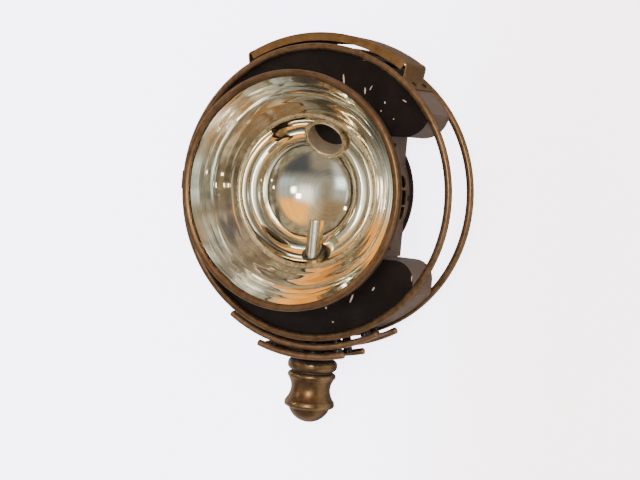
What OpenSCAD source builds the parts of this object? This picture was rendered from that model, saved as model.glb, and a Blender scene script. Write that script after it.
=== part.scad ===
// Early motoring acetylene headlamp: two brass hoops carry an upper chimney box and a lower
// air box; a round drum between them holds the mirror and burner, and a hinged glazed door
// closes it. It stands on a stem whose turned nut clamps a bracket under the collar.
// Axes: +Z up, the beam shines towards -Y, +X to the right as seen from the front.
// Origin: centre of the collar's flat underside, where the car's bracket is clamped.

/* [Hoops] */
// Outer radius of the front and rear hoops
hoop_r = 130; // [124:1:140]
// Radial width of the hoop bar
hoop_w = 6.2; // [5:0.2:8]
// Depth of the hoop bar along the beam
hoop_d = 6.4; // [5:0.2:8]
// Distance between the mid planes of the two hoops
hoop_gap = 53; // [50:1:60]

/* [Boxes] */
// Thickness of the sheet of both boxes
sheet = 1.2; // [0.8:0.1:1.6]
// Height of the chimney box floor above the hoop centre
upper_floor = 55; // [50:1:60]
// Depth of the air box roof below the hoop centre
lower_roof = 50.5; // [46:0.5:56]
// How far the chimney box's rounded ends stand in from its curved wall
upper_inset = 25.5; // [22:0.5:30]
// How far the air box's rounded ends stand in from its curved wall
lower_inset = 27.5; // [24:0.5:32]
// Corner radius of the chimney box ends
upper_corner = 24; // [16:1:28]
// Corner radius of the air box ends
lower_corner = 17; // [10:1:22]
// Width of one vent slot through a box wall
vent_w = 14; // [8:1:16]
// Length of one vent slot along the beam
vent_len = 28; // [16:1:34]
// Angle between neighbouring vent slots
vent_step = 12; // [9:1:14]

/* [Chimney cap] */
// Height of the cap's roof above the hoops
cap_rise = 10; // [8:0.5:14]
// Half angle from the top to the bends at the ends of the cap's roof
cap_half = 32.3; // [28:0.1:36]
// Lean of the cap's end walls from upright
cap_lean = 10; // [4:1:20]
// Radius of the bend between the cap's roof and its end walls
cap_bend = 3.5; // [2:0.5:5]
// Gap along the beam between the cap and each hoop
cap_side = 0.8; // [0.4:0.1:4]
// Height of the turned down lips at the front and rear of the cap
cap_lip = 7.4; // [4:0.2:8.6]
// Angle from the end of the cap's roof to the end of its riveted foot
foot_angle = 9; // [8:0.5:11]
// Radius of a rivet's shank
rivet_r = 1.5; // [1:0.1:2]

/* [Air baffles] */
// How far the inner baffle's middle surface stands outside the hoops
baffle_rise = 5.5; // [4:0.5:8]
// Distance between the middle surfaces of the two baffles
baffle_step = 8.75; // [7:0.25:11]
// Half angle that the inner baffle covers
baffle1_half = 32; // [27:1:36]
// Half angle that the outer baffle covers
baffle2_half = 17.2; // [14:0.2:20]
// Diameter of the rolled bead along a baffle's edges
baffle_bead = 6; // [4:0.2:6.4]
// Distance along the beam from a hoop's mid plane to the nearest bead of a baffle
baffle_side = 5; // [4:0.5:9]
// Thickness of the baffle sheet
baffle_t = 1.4; // [1:0.1:2]

/* [Drum] */
// Height of the lens axis above the hoop centre
lens_rise = 1.5; // [0:0.5:4]
// Outer radius of the drum
drum_r = 68.5; // [64:0.5:70]
// Thickness of the drum's sheet
drum_t = 1.2; // [0.8:0.1:1.6]
// How far the drum's front edge stands ahead of the front hoop's mid plane
drum_ahead = 14; // [10:1:18]
// How far the drum's rear edge stands behind the rear hoop's mid plane
drum_behind = 4; // [1:0.5:9]
// Radial width of the rear cover's flange outside the drum
cover_rim = 3; // [2:0.5:7]
// How far the rear cover is domed behind its flange
cover_dome = 12; // [6:1:18]
// How far the upper saddle's ends stand in from the drum's side
saddle_upper_in = 7; // [4:0.5:10]
// How far the lower saddle's ends stand in from the drum's side
saddle_lower_in = 3.5; // [2:0.5:8]

/* [Mirror and reflector] */
// Depth of the mirror bowl
mirror_depth = 50; // [42:1:54]
// Thickness of the mirror
mirror_t = 2.5; // [1.5:0.1:3]
// Focal length of the flared reflector
flare_focus = 41; // [36:1:46]
// Outer radius of the chimney throat
throat_r = 17.5; // [14:0.5:19]
// Tilt of the chimney throat above the lens axis
throat_tilt = 37; // [32:1:42]
// How far round the mirror from its deepest point the throat's centre lies
throat_angle = 48.8; // [44:0.2:52]

/* [Door] */
// Outer radius of the door ring
bezel_r = 102.5; // [100:0.5:106]
// Radial width of the door ring's face
bezel_face = 6.2; // [5.5:0.1:9]
// Thickness of the door ring's skirt
bezel_t = 1.2; // [0.8:0.1:1.6]
// Thickness of the glass
glass_t = 2.2; // [1.6:0.1:2.6]
// Height of the glass dome
glass_dome = 8; // [3:0.5:14]
// Radius of the hinge knuckles
knuckle_r = 2; // [1.9:0.1:2.8]
// Radius of the hinge pin
pin_r = 1; // [0.8:0.1:1.3]

/* [Burner and gas] */
// Outer radius of the burner tube
burner_r = 7; // [5:0.5:8]
// Depth of the burner tube's top below the lens axis
burner_drop = 25; // [15:1:35]
// Gap along the beam between the burner's nut and the lower front plate
burner_clear = 0.9; // [0.5:0.1:4]
// Radius of the gas pipe
gas_pipe_r = 4; // [3:0.5:5]
// Depth of the gas inlet below the drum
inlet_below = 31; // [26:1:34]
// Outer radius of the gas nipple for the rubber hose
nipple_r = 4.5; // [3.5:0.1:5.5]
// Straight length of the gas nipple
nipple_len = 20; // [14:1:24]

/* [Stem and finial] */
// Height of the collar from the bracket seat to the outer baffle
hub_h = 15; // [12:0.5:24]
// How far the stem stands behind the middle of the hoops
stem_back = 6; // [0:1:8]
// Radius of the threaded stem
stem_r = 5; // [4:0.1:6]
// Outer radius of the collar
collar_r = 22.3; // [18:0.1:26]
// Height of the collar's rounded ring
collar_h = 10.5; // [8:0.5:11]
// Radius of the finial's top bead
finial_top_r = 21.7; // [18:0.1:24]
// Radius of the finial's waist
finial_waist_r = 17.6; // [14:0.1:19]
// Radius of the finial's lower shoulder
finial_foot_r = 22.6; // [20:0.1:26]
// Height of the finial from its top face to the shoulder's widest line
finial_h = 29; // [24:0.5:36]
// Radius of the ball end where it leaves the shoulder
ball_r = 18.2; // [14:0.1:19]
// Height of the ball end
ball_h = 12.2; // [8:0.2:16]
// Thickness of the clamp washer
washer_t = 1.2; // [0.8:0.1:2]

/* [Hidden] */
$fn = 96;

brass = [0.52, 0.38, 0.20];
dull_brass = [0.45, 0.38, 0.29];
black = [0.07, 0.06, 0.06];
silver = [0.80, 0.78, 0.72];
steel = [0.45, 0.45, 0.46];

// Clearances
seam = 0.05;
running = 0.05;
loose = 0.3;

// Planes along the beam, counted from the front hoop's mid plane
box_front = hoop_d / 2;
box_back = hoop_gap - hoop_d / 2;
box_mid = hoop_gap / 2;
stem_y = box_mid + stem_back;

// Radii and fillets of the hoops and the box wall
hoop_mid_r = hoop_r - hoop_w / 2;
hoop_round = 0.42 * min(hoop_w, hoop_d);
wall_r = hoop_mid_r + sheet / 2;
upper_half = wall_r - upper_inset;
lower_half = wall_r - lower_inset;

// Drum
drum_back = hoop_gap + drum_behind;
drum_seat_r = drum_r + seam;
drum_in_r = drum_r - drum_t;
cover_r = drum_r + cover_rim;
saddle_upper = drum_r - saddle_upper_in;
saddle_lower = drum_r - saddle_lower_in;

// Baffles, and the hoop centre's height above the bracket seat
baffle1_r = hoop_r + baffle_rise;
baffle2_r = baffle1_r + baffle_step;
baffle_d = hoop_gap - 2 * baffle_side;
baffle2_under = baffle2_r + baffle_t / 2;
lamp_z = baffle2_under + seam + hub_h;

// Mirror bowl, an ellipse turned about the lens axis
mirror_in_r = drum_in_r - 0.3 - mirror_t;
mirror_rim = -drum_ahead + 2.5;
bowl_steps = 14;

// Burner: its nut, its place behind the lower front plate, and where it meets the bowl
burner_nut_r = burner_r + 3;
burner_back = box_front + sheet + burner_clear + burner_nut_r * cos(30);
burner_foot = mirror_in_r * sqrt(1 - pow((burner_back - mirror_rim) / mirror_depth, 2));

// Gas pipe and inlet
inlet_drop = drum_r - lens_rise + inlet_below;
pipe_bore = gas_pipe_r - 1.2;

// Chimney throat: its centre on the bowl
throat_y = mirror_rim + mirror_depth * cos(throat_angle);
throat_rise = mirror_in_r * sin(throat_angle);

// Flared reflector, a paraboloid from the drum's edge to the door
flare_steps = 10;
flare_in_r = drum_in_r + 0.1;
flare_start = -drum_ahead - seam;
glass_sight_r = bezel_r - bezel_face;
flare_out_r = glass_sight_r + 0.3;
flare_t = 1.4;
casing_gap = 0.2;
casing_t = 1.7;
function flare_y(r) = flare_start - (pow(r, 2) - pow(flare_in_r, 2)) / (4 * flare_focus);
function flare_r(y) = sqrt(pow(flare_in_r, 2) + (flare_start - y) * 4 * flare_focus);
rim_y = flare_y(flare_out_r);
rim_t = 1.2;
rim_r = bezel_r - bezel_t - 1.7;

// Door stack, from the casing's rim forwards
door_gap = 0.45;
glass_ring_t = 0.6;
gasket_t = 0.8;
glass_ring_back = rim_y - door_gap;
glass_back = glass_ring_back - glass_ring_t - seam;
gasket_back = glass_back - glass_t - seam;
lip_back = gasket_back - gasket_t - seam;
lip_t = 1.4;
bezel_bulge = 3;
skirt_back = rim_y + rim_t;
skirt_in_r = bezel_r - bezel_t;
glass_r = skirt_in_r - 0.4;
glass_flat_r = glass_sight_r - 0.8;

// Door hinge
hinge_x = -(bezel_r + knuckle_r + 0.5);
hinge_y = skirt_back + 4;
knuckle_h = 5;
leaf_t = 0.8;
leaf_h = 8;

// Cap
cap_r = hoop_r + cap_rise;
cap_front = box_front + cap_side;
cap_back = box_back - cap_side;
cap_d = cap_back - cap_front;
foot_r = wall_r + seam;
rivet_angle = cap_half + 0.7 * foot_angle;

// Stem
collar_hub_r = 2 * stem_r;
stem_plate_t = 2.5;
stem_plate_r = wall_r - sheet - seam;
finial_top = -(washer_t + 0.2);
stem_end = finial_top - finial_h - 4;
stem_bore_end = stem_end - 2;

// Points of an arc about a centre, from one angle to another
function arc(x, y, r, a, b, n) =
    [for (i = [0 : n]) [x + r * cos(a + (b - a) * i / n), y + r * sin(a + (b - a) * i / n)]];
function reversed(list) = [for (i = [len(list) - 1 : -1 : 0]) list[i]];

// Places things drawn about the hoop centre, at the front hoop's mid plane
module in_lamp() {
    translate([0, -stem_y, lamp_z]) children();
}

// Places things drawn about the lens axis
module on_lens() {
    in_lamp() translate([0, 0, lens_rise]) children();
}

// Turns a profile of radius and depth about the beam's direction
module turned(points) {
    rotate([-90, 0, 0]) rotate_extrude() polygon(points);
}

// Sweeps a profile of radius and depth through an arc centred at the top or bottom
module arc_sweep(half, top) {
    rotate([-90, 0, 0]) rotate([0, 0, (top ? -90 : 90) - half]) rotate_extrude(angle = 2 * half) children();
}

// Extrudes a front view outline between two planes along the beam
module slab(y0, y1) {
    translate([0, y1, 0]) rotate([90, 0, 0]) linear_extrude(y1 - y0) children();
}

// Radial placing: moves things drawn along +Z out to an angle from the top
module at_angle(a) {
    rotate([0, a, 0]) children();
}

// Rectangle with rounded corners, from its low and high corners
module soft_rect(x0, y0, x1, y1, r) {
    translate([x0 + r, y0]) square([x1 - x0 - 2 * r, y1 - y0]);
    translate([x0, y0 + r]) square([x1 - x0, y1 - y0 - 2 * r]);
    for (x = [x0 + r, x1 - r], y = [y0 + r, y1 - r]) translate([x, y]) circle(r);
}

// Hoops: one round-cornered bar bent into a ring
module hoop(y) {
    color(brass) in_lamp() rotate([-90, 0, 0]) rotate_extrude()
        soft_rect(hoop_r - hoop_w, y - hoop_d / 2, hoop_r, y + hoop_d / 2, hoop_round);
}

module front_hoop() { hoop(0); }

module rear_hoop() { hoop(hoop_gap); }

// Front view of a box: the hoop's circle cut by a level floor with rounded ends,
// less the drum's circle; inset shrinks it by a sheet's thickness
module box_outline(half, floor_z, corner, rise, inset) {
    difference() {
        intersection() {
            circle(wall_r - inset);
            union() {
                translate([-(half - corner), floor_z + inset])
                    square([2 * (half - corner), hoop_r]);
                translate([-(half - inset), floor_z + corner])
                    square([2 * (half - inset), hoop_r]);
                for (side = [-1, 1]) translate([side * (half - corner), floor_z + corner])
                    circle(corner - inset);
            }
        }
        translate([0, rise]) circle(drum_seat_r + inset);
    }
}

module upper_outline(inset) {
    box_outline(upper_half, upper_floor, upper_corner, lens_rise, inset);
}

module lower_outline(inset) {
    mirror([0, 1]) box_outline(lower_half, lower_roof, lower_corner, -lens_rise, inset);
}

module upper_front_plate() {
    color(black) in_lamp() slab(box_front, box_front + sheet) upper_outline(0);
}

module upper_rear_plate() {
    color(black) in_lamp() slab(box_back - sheet, box_back) upper_outline(0);
}

module lower_front_plate() {
    color(black) in_lamp() slab(box_front, box_front + sheet) lower_outline(0);
}

// The gas inlet's shank passes through this plate
module lower_rear_plate() {
    color(black) in_lamp() difference() {
        slab(box_back - sheet, box_back) lower_outline(0);
        translate([0, box_back - 2 * sheet, -inlet_drop]) rotate([-90, 0, 0])
            cylinder(r = gas_pipe_r + running, h = 3 * sheet);
    }
}

// Row of vent slots through a box's curved wall, on both sides of the middle
module vents(angles, middle) {
    for (a = angles) at_angle(middle + a)
        translate([-vent_w / 2, box_mid - vent_len / 2, wall_r - 3 * sheet])
            cube([vent_w, vent_len, 5 * sheet]);
}

// Windows between the drum and the boxes
window_w = 2 * throat_r + 4;
window_front = box_front + 3 * sheet;
window_back = box_back - 3 * sheet;
air_w = 14;
air_x = burner_r + 8;

module chimney_window() {
    translate([-window_w / 2, window_front, lens_rise + drum_r * 0.8])
        cube([window_w, window_back - window_front, drum_r * 0.35]);
}

module air_windows() {
    for (side = [-1, 1]) translate([side * (air_x + air_w / 2) - air_w / 2, window_front,
                                    lens_rise - drum_r * 1.1])
        cube([air_w, window_back - window_front, drum_r * 0.35]);
}

module rivet_holes(r) {
    for (side = [-1, 1], y = [cap_front + cap_d * 0.25, cap_back - cap_d * 0.25])
        at_angle(side * rivet_angle) translate([0, y, wall_r - 3 * sheet])
            cylinder(r = r, h = 6 * sheet);
}

module upper_wall() {
    color(dull_brass) in_lamp() difference() {
        slab(box_front + sheet, box_back - sheet) difference() {
            upper_outline(0);
            upper_outline(sheet);
        }
        vents([-2 * vent_step, -vent_step, 0, vent_step, 2 * vent_step], 0);
        chimney_window();
        rivet_holes(rivet_r + running);
    }
}

module lower_wall() {
    color(dull_brass) in_lamp() difference() {
        slab(box_front + sheet, box_back - sheet) difference() {
            lower_outline(0);
            lower_outline(sheet);
        }
        vents([-vent_step * 1.4, vent_step * 1.4], 180);
        air_windows();
        translate([0, stem_y, -hoop_r]) cylinder(r = stem_r + running, h = 0.3 * hoop_r);
        translate([0, burner_back, lens_rise - drum_r - 3 * sheet])
            cylinder(r = burner_r + running, h = 6 * sheet);
    }
}

// Sweeps a profile of radius and depth between two angles from the top
module top_sweep(from, to) {
    rotate([-90, 0, 0]) rotate([0, 0, from - 90]) rotate_extrude(angle = to - from) children();
}

// Cap: a bent sheet with lips turned down at the front and rear, closed by leaning end
// walls, with a foot at each end riveted to the chimney box. It is cut from a curved bar
cap_round = 2;
bend_steps = 5;

// Front view of one end of the cap, from above the roof round the bend and down the wall
function cap_end(inset) =
    let (c = (cap_r - cap_bend) * [sin(cap_half), cos(cap_half)],
         low = c + (cap_bend - inset) * [cos(cap_lean), -sin(cap_lean)])
    concat(
        [c + (cap_bend + 2) * [sin(cap_half - 2), cos(cap_half - 2)]],
        arc(c[0], c[1], cap_bend - inset, 90 - cap_half, -cap_lean, bend_steps),
        [low - hoop_r / 2 * [sin(cap_lean), cos(cap_lean)]]);

module cap_outline(inset) {
    end = concat([[cap_end(inset)[0][0], cap_r + 2]], cap_end(inset));
    polygon(concat(end, reversed([for (p = end) [-p[0], p[1]]])));
}

module chimney_cap() {
    foot_end = cap_half + foot_angle;
    color(brass) in_lamp() difference() {
        top_sweep(-foot_end, foot_end) {
            translate([foot_r, cap_front]) square([cap_r - cap_round - foot_r, cap_d]);
            translate([foot_r, cap_front + cap_round])
                square([cap_r - foot_r, cap_d - 2 * cap_round]);
            for (y = [cap_front + cap_round, cap_back - cap_round])
                translate([cap_r - cap_round, y]) circle(cap_round);
        }
        slab(cap_front - 1, cap_back + 1) difference() {
            translate([-cap_r, 0]) square([2 * cap_r, 2 * cap_r]);
            cap_outline(0);
            circle(foot_r + sheet);
        }
        slab(cap_front - 1, cap_back + 1) intersection() {
            cap_outline(sheet);
            circle(cap_r - cap_lip);
        }
        slab(cap_front + sheet, cap_back - sheet) intersection() {
            cap_outline(sheet);
            circle(cap_r - sheet);
        }
        rivet_holes(rivet_r + running);
    }
}

module cap_rivets() {
    color(brass) in_lamp() for (side = [-1, 1], y = [cap_front + cap_d * 0.25, cap_back - cap_d * 0.25])
        at_angle(side * rivet_angle) translate([0, y, 0]) {
            translate([0, 0, wall_r - 2 * sheet]) cylinder(r = rivet_r, h = 3 * sheet + seam);
            translate([0, 0, foot_r + sheet + seam]) intersection() {
                translate([0, 0, -rivet_r]) sphere(2 * rivet_r);
                cylinder(r = 3 * rivet_r, h = 2 * rivet_r);
            }
        }
}

// Baffle: curved sheet with a rolled bead along its front and rear edges, and a hole
// for the stem; the beads' cut ends are bevelled
module baffle(r, half) {
    y0 = box_mid - baffle_d / 2;
    y1 = box_mid + baffle_d / 2;
    t = baffle_t / 2;
    b = baffle_bead / 2;
    a = asin(t / b);
    color(brass) in_lamp() difference() {
        arc_sweep(half, false) polygon(concat(
            arc(r, y0, b, 90 - a, -270 + a, 20),
            arc(r, y1, b, 270 - a, -90 + a, 20)));
        translate([0, stem_y, -2 * hoop_r]) cylinder(r = stem_r + running, h = 2 * hoop_r);
    }
}

module inner_baffle() { baffle(baffle1_r, baffle1_half); }

module outer_baffle() { baffle(baffle2_r, baffle2_half); }

// Distance pieces: short pillars that hold the baffles off the wall and off each other,
// their ends curved to the sheets they stand between
module pillar(angle, y, r0, r1, r) {
    intersection() {
        at_angle(180 + angle) translate([0, y, r0 - baffle_bead]) cylinder(r = r, h = hoop_r);
        arc_sweep(baffle1_half, false) translate([r0 + seam, cap_front])
            square([r1 - r0 - 2 * seam, cap_d]);
    }
}

module pillars(y, half_angle, r) {
    inner = baffle1_r - baffle_t / 2;
    outer = baffle1_r + baffle_t / 2;
    for (side = (half_angle == 0 ? [0] : [-1, 1])) {
        pillar(side * half_angle, y, wall_r, inner, r);
        if (half_angle < baffle2_half) pillar(side * half_angle, y, outer, baffle2_r - baffle_t / 2, r);
    }
}

pillar_r = 4;
spacing_1 = baffle1_half - 7;
spacing_2 = baffle2_half - 4.5;

module baffle_spacers() {
    color(black) in_lamp() {
        for (y = [box_mid - baffle_d / 4, box_mid + baffle_d / 4]) {
            pillars(y, spacing_1, pillar_r);
            pillars(y, spacing_2, pillar_r);
        }
        difference() {
            pillars(stem_y, 0, collar_hub_r);
            translate([0, stem_y, -2 * hoop_r]) cylinder(r = stem_r + running, h = 2 * hoop_r);
        }
    }
}

// Drum: an open tube with air holes through both sides
hole_z = 14.5;
hole_r = 5.6;
hole_y = 43.6;
port_y = 41;
port_d = 17;
port_h = 13;
port_z = 0.5;
low_port_z = -13;

module side_ports() {
    translate([-2 * drum_r, hole_y, hole_z]) rotate([0, 90, 0]) cylinder(r = hole_r, h = 4 * drum_r);
    translate([-2 * drum_r, port_y - port_d / 2, port_z - port_h / 2])
        cube([4 * drum_r, port_d, port_h]);
    translate([-2 * drum_r, port_y - port_d / 2, low_port_z - port_h / 2 + 0.5])
        cube([4 * drum_r, port_d, port_h - 1.5]);
}

screw_r = 1.4;
screw_count = 6;
screw_y = drum_back - 3;

module screw_holes() {
    for (i = [0 : screw_count - 1]) rotate([0, (i + 0.5) * 360 / screw_count, 0])
        translate([0, screw_y, drum_r / 2]) cylinder(r = screw_r + running, h = drum_r);
}

module drum_shell() {
    color(dull_brass) on_lens() difference() {
        turned([[drum_in_r, -drum_ahead], [drum_r, -drum_ahead],
                [drum_r, drum_back], [drum_in_r, drum_back]]);
        side_ports();
        screw_holes();
        translate([0, 0, -lens_rise]) chimney_window();
        translate([0, 0, -lens_rise]) air_windows();
        translate([0, burner_back, -drum_r - sheet]) cylinder(r = burner_r + running, h = 3 * drum_t);
    }
}

// Rear cover: spun dish whose inner skirt fits in the drum
cover_skirt = 7;
cover_lip = 2.6;
cover_arc = (pow(drum_in_r - 4, 2) + pow(cover_dome, 2)) / (2 * cover_dome);
cover_arc_end = asin((drum_in_r - 4) / cover_arc);

function dome(r, depth, n) =
    [for (i = [0 : n]) [r * sin(cover_arc_end * i / n),
                        depth - r * (1 - cos(cover_arc_end * i / n))]];

module rear_cover() {
    skirt_out = drum_in_r - running;
    plane = drum_back + seam;
    color(black) on_lens() difference() {
        turned(concat(
            dome(cover_arc, plane + sheet + cover_dome, 12),
            [[drum_in_r - 2, plane + sheet], [cover_r - sheet, plane + sheet],
             [cover_r - sheet, plane + cover_lip], [cover_r, plane + cover_lip], [cover_r, plane],
             [skirt_out, plane], [skirt_out, drum_back - cover_skirt],
             [skirt_out - sheet, drum_back - cover_skirt], [skirt_out - sheet, plane]],
            reversed(dome(cover_arc - sheet, plane + cover_dome, 12))));
        screw_holes();
    }
}

module cover_screws() {
    color(brass) on_lens() for (i = [0 : screw_count - 1]) rotate([0, (i + 0.5) * 360 / screw_count, 0])
        translate([0, screw_y, 0]) {
            translate([0, 0, drum_in_r - 2 * sheet]) cylinder(r = screw_r, h = 3 * sheet + seam);
            translate([0, 0, drum_r + seam]) intersection() {
                translate([0, 0, -screw_r]) sphere(2 * screw_r);
                cylinder(r = 3 * screw_r, h = 2 * screw_r);
            }
        }
}

// Saddles: hollow cheeks that fill the corners between the drum and a box; rise is the
// drum's height on the side of the box they face
slot_h = 3;
slot_len = 7;
slot_y = 25;

module saddle(half, top, rise) {
    difference() {
        slab(box_front, drum_back - seam) difference() {
            translate([-half, top / 2.6]) square([2 * half, top - seam - top / 2.6]);
            translate([0, rise]) circle(drum_seat_r);
        }
        slab(box_front + sheet, drum_back - seam - sheet)
            translate([-half + sheet, 0]) square([2 * half - 2 * sheet, top - seam - sheet]);
        translate([-2 * drum_r, slot_y, top - 3 * slot_h]) cube([4 * drum_r, slot_len, slot_h]);
    }
}

module upper_saddles() {
    color(dull_brass) in_lamp() saddle(saddle_upper, upper_floor, lens_rise);
}

module lower_saddles() {
    color(dull_brass) in_lamp() mirror([0, 0, 1]) saddle(saddle_lower, lower_roof, -lens_rise);
}

// Reflector and its casing: two nested paraboloids between the drum and the door
function flare_curve(shift, r0, r1, n) =
    [for (i = [0 : n]) let (r = r0 + (r1 - r0) * i / n) [r, flare_y(r) + shift]];

module flare_reflector() {
    outer_r0 = flare_r(flare_start - flare_t);
    color(silver) on_lens() turned(concat(
        flare_curve(0, flare_in_r, flare_out_r, flare_steps),
        reversed(flare_curve(flare_t, outer_r0, flare_out_r, flare_steps))));
}

sleeve_len = 10;
sleeve_r = drum_seat_r + sheet;

module casing_solid() {
    shift = flare_t + casing_gap + casing_t;
    turned(concat(
        [[0, rim_y], [rim_r, rim_y], [rim_r, rim_y + rim_t]],
        reversed(flare_curve(shift, sleeve_r, flare_r(rim_y + rim_t - shift), flare_steps)),
        [[sleeve_r, -drum_ahead + sleeve_len], [0, -drum_ahead + sleeve_len]]));
}

module flare_casing() {
    shift = flare_t + casing_gap;
    inner_r0 = max(drum_seat_r, flare_r(-drum_ahead - shift));
    color(black) on_lens() difference() {
        casing_solid();
        turned(concat(
            [[0, rim_y - 1], [flare_out_r + 0.15, rim_y - 1], [flare_out_r + 0.15, rim_y + shift]],
            reversed(flare_curve(shift, inner_r0, flare_out_r + 0.15, flare_steps)),
            [[drum_seat_r, flare_y(inner_r0) + shift],
             [drum_seat_r, sleeve_len], [0, sleeve_len]]));
    }
}

// Mirror: the bowl, with holes for the chimney throat and the burner
function bowl(r, depth, n) =
    [for (i = [0 : n]) [r * cos(90 * i / n), mirror_rim + depth * sin(90 * i / n)]];

module along_throat() {
    translate([0, throat_y, throat_rise]) rotate([-90 + throat_tilt, 0, 0]) children();
}

module mirror_bowl() {
    color(silver) on_lens() difference() {
        turned(concat(
            reversed(bowl(mirror_in_r, mirror_depth, bowl_steps)),
            bowl(mirror_in_r + mirror_t, mirror_depth + mirror_t, bowl_steps)));
        along_throat() translate([0, 0, -throat_r]) cylinder(r = throat_r + loose, h = 2 * throat_r);
        translate([0, burner_back, -mirror_in_r - 2 * mirror_t])
            cylinder(r = burner_nut_r + seam, h = mirror_in_r);
    }
}

module mirror_ring() {
    ring_back = mirror_rim - seam;
    color(brass) on_lens() turned([
        [mirror_in_r - 1.2, ring_back], [drum_in_r - running, ring_back],
        [drum_in_r - running, -drum_ahead], [mirror_in_r + 1, -drum_ahead],
        [mirror_in_r - 1.2, -drum_ahead + 1.2]]);
}

// Chimney throat: short tube through the mirror with a rolled ring round its mouth
throat_t = 1.2;
throat_mouth = 5.5;
throat_tail = 10;
throat_ring_w = 2.4;

module chimney_throat() {
    color(dull_brass) on_lens() along_throat() difference() {
        translate([0, 0, -throat_mouth]) cylinder(r = throat_r, h = throat_mouth + throat_tail);
        translate([0, 0, -throat_mouth - 1])
            cylinder(r = throat_r - throat_t, h = throat_mouth + throat_tail + 2);
    }
}

module throat_ring() {
    color(brass) on_lens() intersection() {
        along_throat() translate([0, 0, -throat_mouth]) rotate_extrude()
            translate([throat_r + running, 0]) {
                soft_rect(0, 0, throat_ring_w, 3 * throat_ring_w, 0.9);
            }
        turned(concat(bowl(mirror_in_r - seam, mirror_depth - seam, bowl_steps), [[0, mirror_rim]]));
    }
}

// Burner: polished tube with a rounded top, its jet, and the nut under the drum
burner_top_round = 1.6;
burner_bore = burner_r - 1.5;
burner_low = -drum_r - sheet - 8;

module burner_tube() {
    color(silver) on_lens() translate([0, burner_back, 0]) rotate_extrude() polygon(concat(
        [[burner_bore, burner_low], [burner_r, burner_low]],
        arc(burner_r - burner_top_round, -burner_drop - burner_top_round, burner_top_round, 0, 90, 6),
        [[burner_bore, -burner_drop]]));
}

module burner_jet() {
    color("ivory") on_lens() translate([0, burner_back, -burner_drop - 8]) difference() {
        cylinder(r = burner_bore - seam, h = 6.5);
        translate([0, 0, -1]) cylinder(r = 0.6, h = 10);
    }
}

module burner_grommet() {
    color(black) on_lens() translate([0, burner_back, -burner_foot - 1.5]) difference() {
        cylinder(r = burner_nut_r, h = 3);
        translate([0, 0, -1]) cylinder(r = burner_r + running, h = 5);
    }
}

module burner_nut() {
    color(brass) on_lens() translate([0, burner_back, burner_low + 2]) difference() {
        cylinder(r = burner_nut_r, h = 5, $fn = 6);
        translate([0, 0, -1]) cylinder(r = burner_r + running, h = 7);
    }
}

// Gas pipe: from the burner down and back to the inlet in the rear plate
module gas_pipe() {
    pipe_top = lens_rise + burner_low - seam;
    color(brass) in_lamp() difference() {
        translate([0, burner_back, -inlet_drop]) {
            cylinder(r = gas_pipe_r, h = pipe_top + inlet_drop);
            sphere(gas_pipe_r);
            rotate([-90, 0, 0]) cylinder(r = gas_pipe_r, h = box_back - 5 - burner_back);
            translate([0, 0, pipe_top - 4 + inlet_drop]) cylinder(r = burner_r, h = 4);
        }
        translate([0, burner_back, -inlet_drop]) {
            cylinder(r = pipe_bore, h = pipe_top + inlet_drop + 1);
            rotate([-90, 0, 0]) cylinder(r = pipe_bore, h = box_back - burner_back);
        }
    }
}

// Gas inlet: bent pipe with a flange on the rear plate and a nipple for the rubber hose
inlet_out = 16;
inlet_flange_t = 2.5;
inlet_shoulder = nipple_r + 2;

module gas_inlet() {
    color(brass) in_lamp() translate([0, box_back, -inlet_drop]) difference() {
        union() {
            translate([0, seam - 5, 0]) rotate([-90, 0, 0])
                cylinder(r = gas_pipe_r, h = inlet_out + 5 - seam);
            translate([0, seam, 0]) rotate([-90, 0, 0])
                cylinder(r = 2.2 * gas_pipe_r, h = inlet_flange_t);
            translate([0, inlet_out, 0]) sphere(nipple_r + 1);
            translate([0, inlet_out, -inlet_shoulder])
                cylinder(r = nipple_r + 1.3, h = inlet_shoulder);
            translate([0, inlet_out, -inlet_shoulder - nipple_len])
                cylinder(r = nipple_r, h = nipple_len + 1);
            translate([0, inlet_out, -inlet_shoulder - nipple_len - 2])
                cylinder(r1 = nipple_r - 1, r2 = nipple_r, h = 2);
        }
        translate([0, inlet_out, -inlet_shoulder - nipple_len - 3])
            cylinder(r = pipe_bore, h = inlet_shoulder + nipple_len + 3);
        translate([0, -6, 0]) rotate([-90, 0, 0]) cylinder(r = pipe_bore, h = inlet_out + 6);
    }
}

// Stem: threaded rod from inside the air box, through both baffles and the collar
module stem() {
    top = lamp_z - stem_plate_r + stem_plate_t + 8;
    color(steel) translate([0, 0, stem_end]) cylinder(r = stem_r, h = top - stem_end);
}

module stem_plate() {
    color(steel) difference() {
        in_lamp() arc_sweep(8, false) translate([stem_plate_r - stem_plate_t, box_front + 2 * sheet])
            square([stem_plate_t, box_back - box_front - 4 * sheet]);
        cylinder(r = stem_r + running, h = hoop_r);
    }
}

module stem_nut() {
    nut_r = 1.8 * stem_r;
    inner_r = stem_plate_r - stem_plate_t;
    seat = lamp_z - sqrt(pow(inner_r, 2) - pow(nut_r, 2)) + seam;
    color(steel) translate([0, 0, seat]) difference() {
        cylinder(r = nut_r, h = 6, $fn = 6);
        translate([0, 0, -1]) cylinder(r = stem_r + running, h = 8);
    }
}

// Collar: rounded ring with a hub that bears on the outer baffle
module collar() {
    round = 0.44 * collar_h;
    hub_top = lamp_z - baffle2_under - seam;
    bore = stem_r + running;
    color(brass) rotate_extrude() polygon(concat(
        [[bore, 0]],
        arc(collar_r - round, round, round, -90, 0, 8),
        arc(collar_r - round, collar_h - round, round, 0, 90, 8),
        [[collar_hub_r, collar_h], [collar_hub_r, hub_top], [bore, hub_top]]));
}

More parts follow.
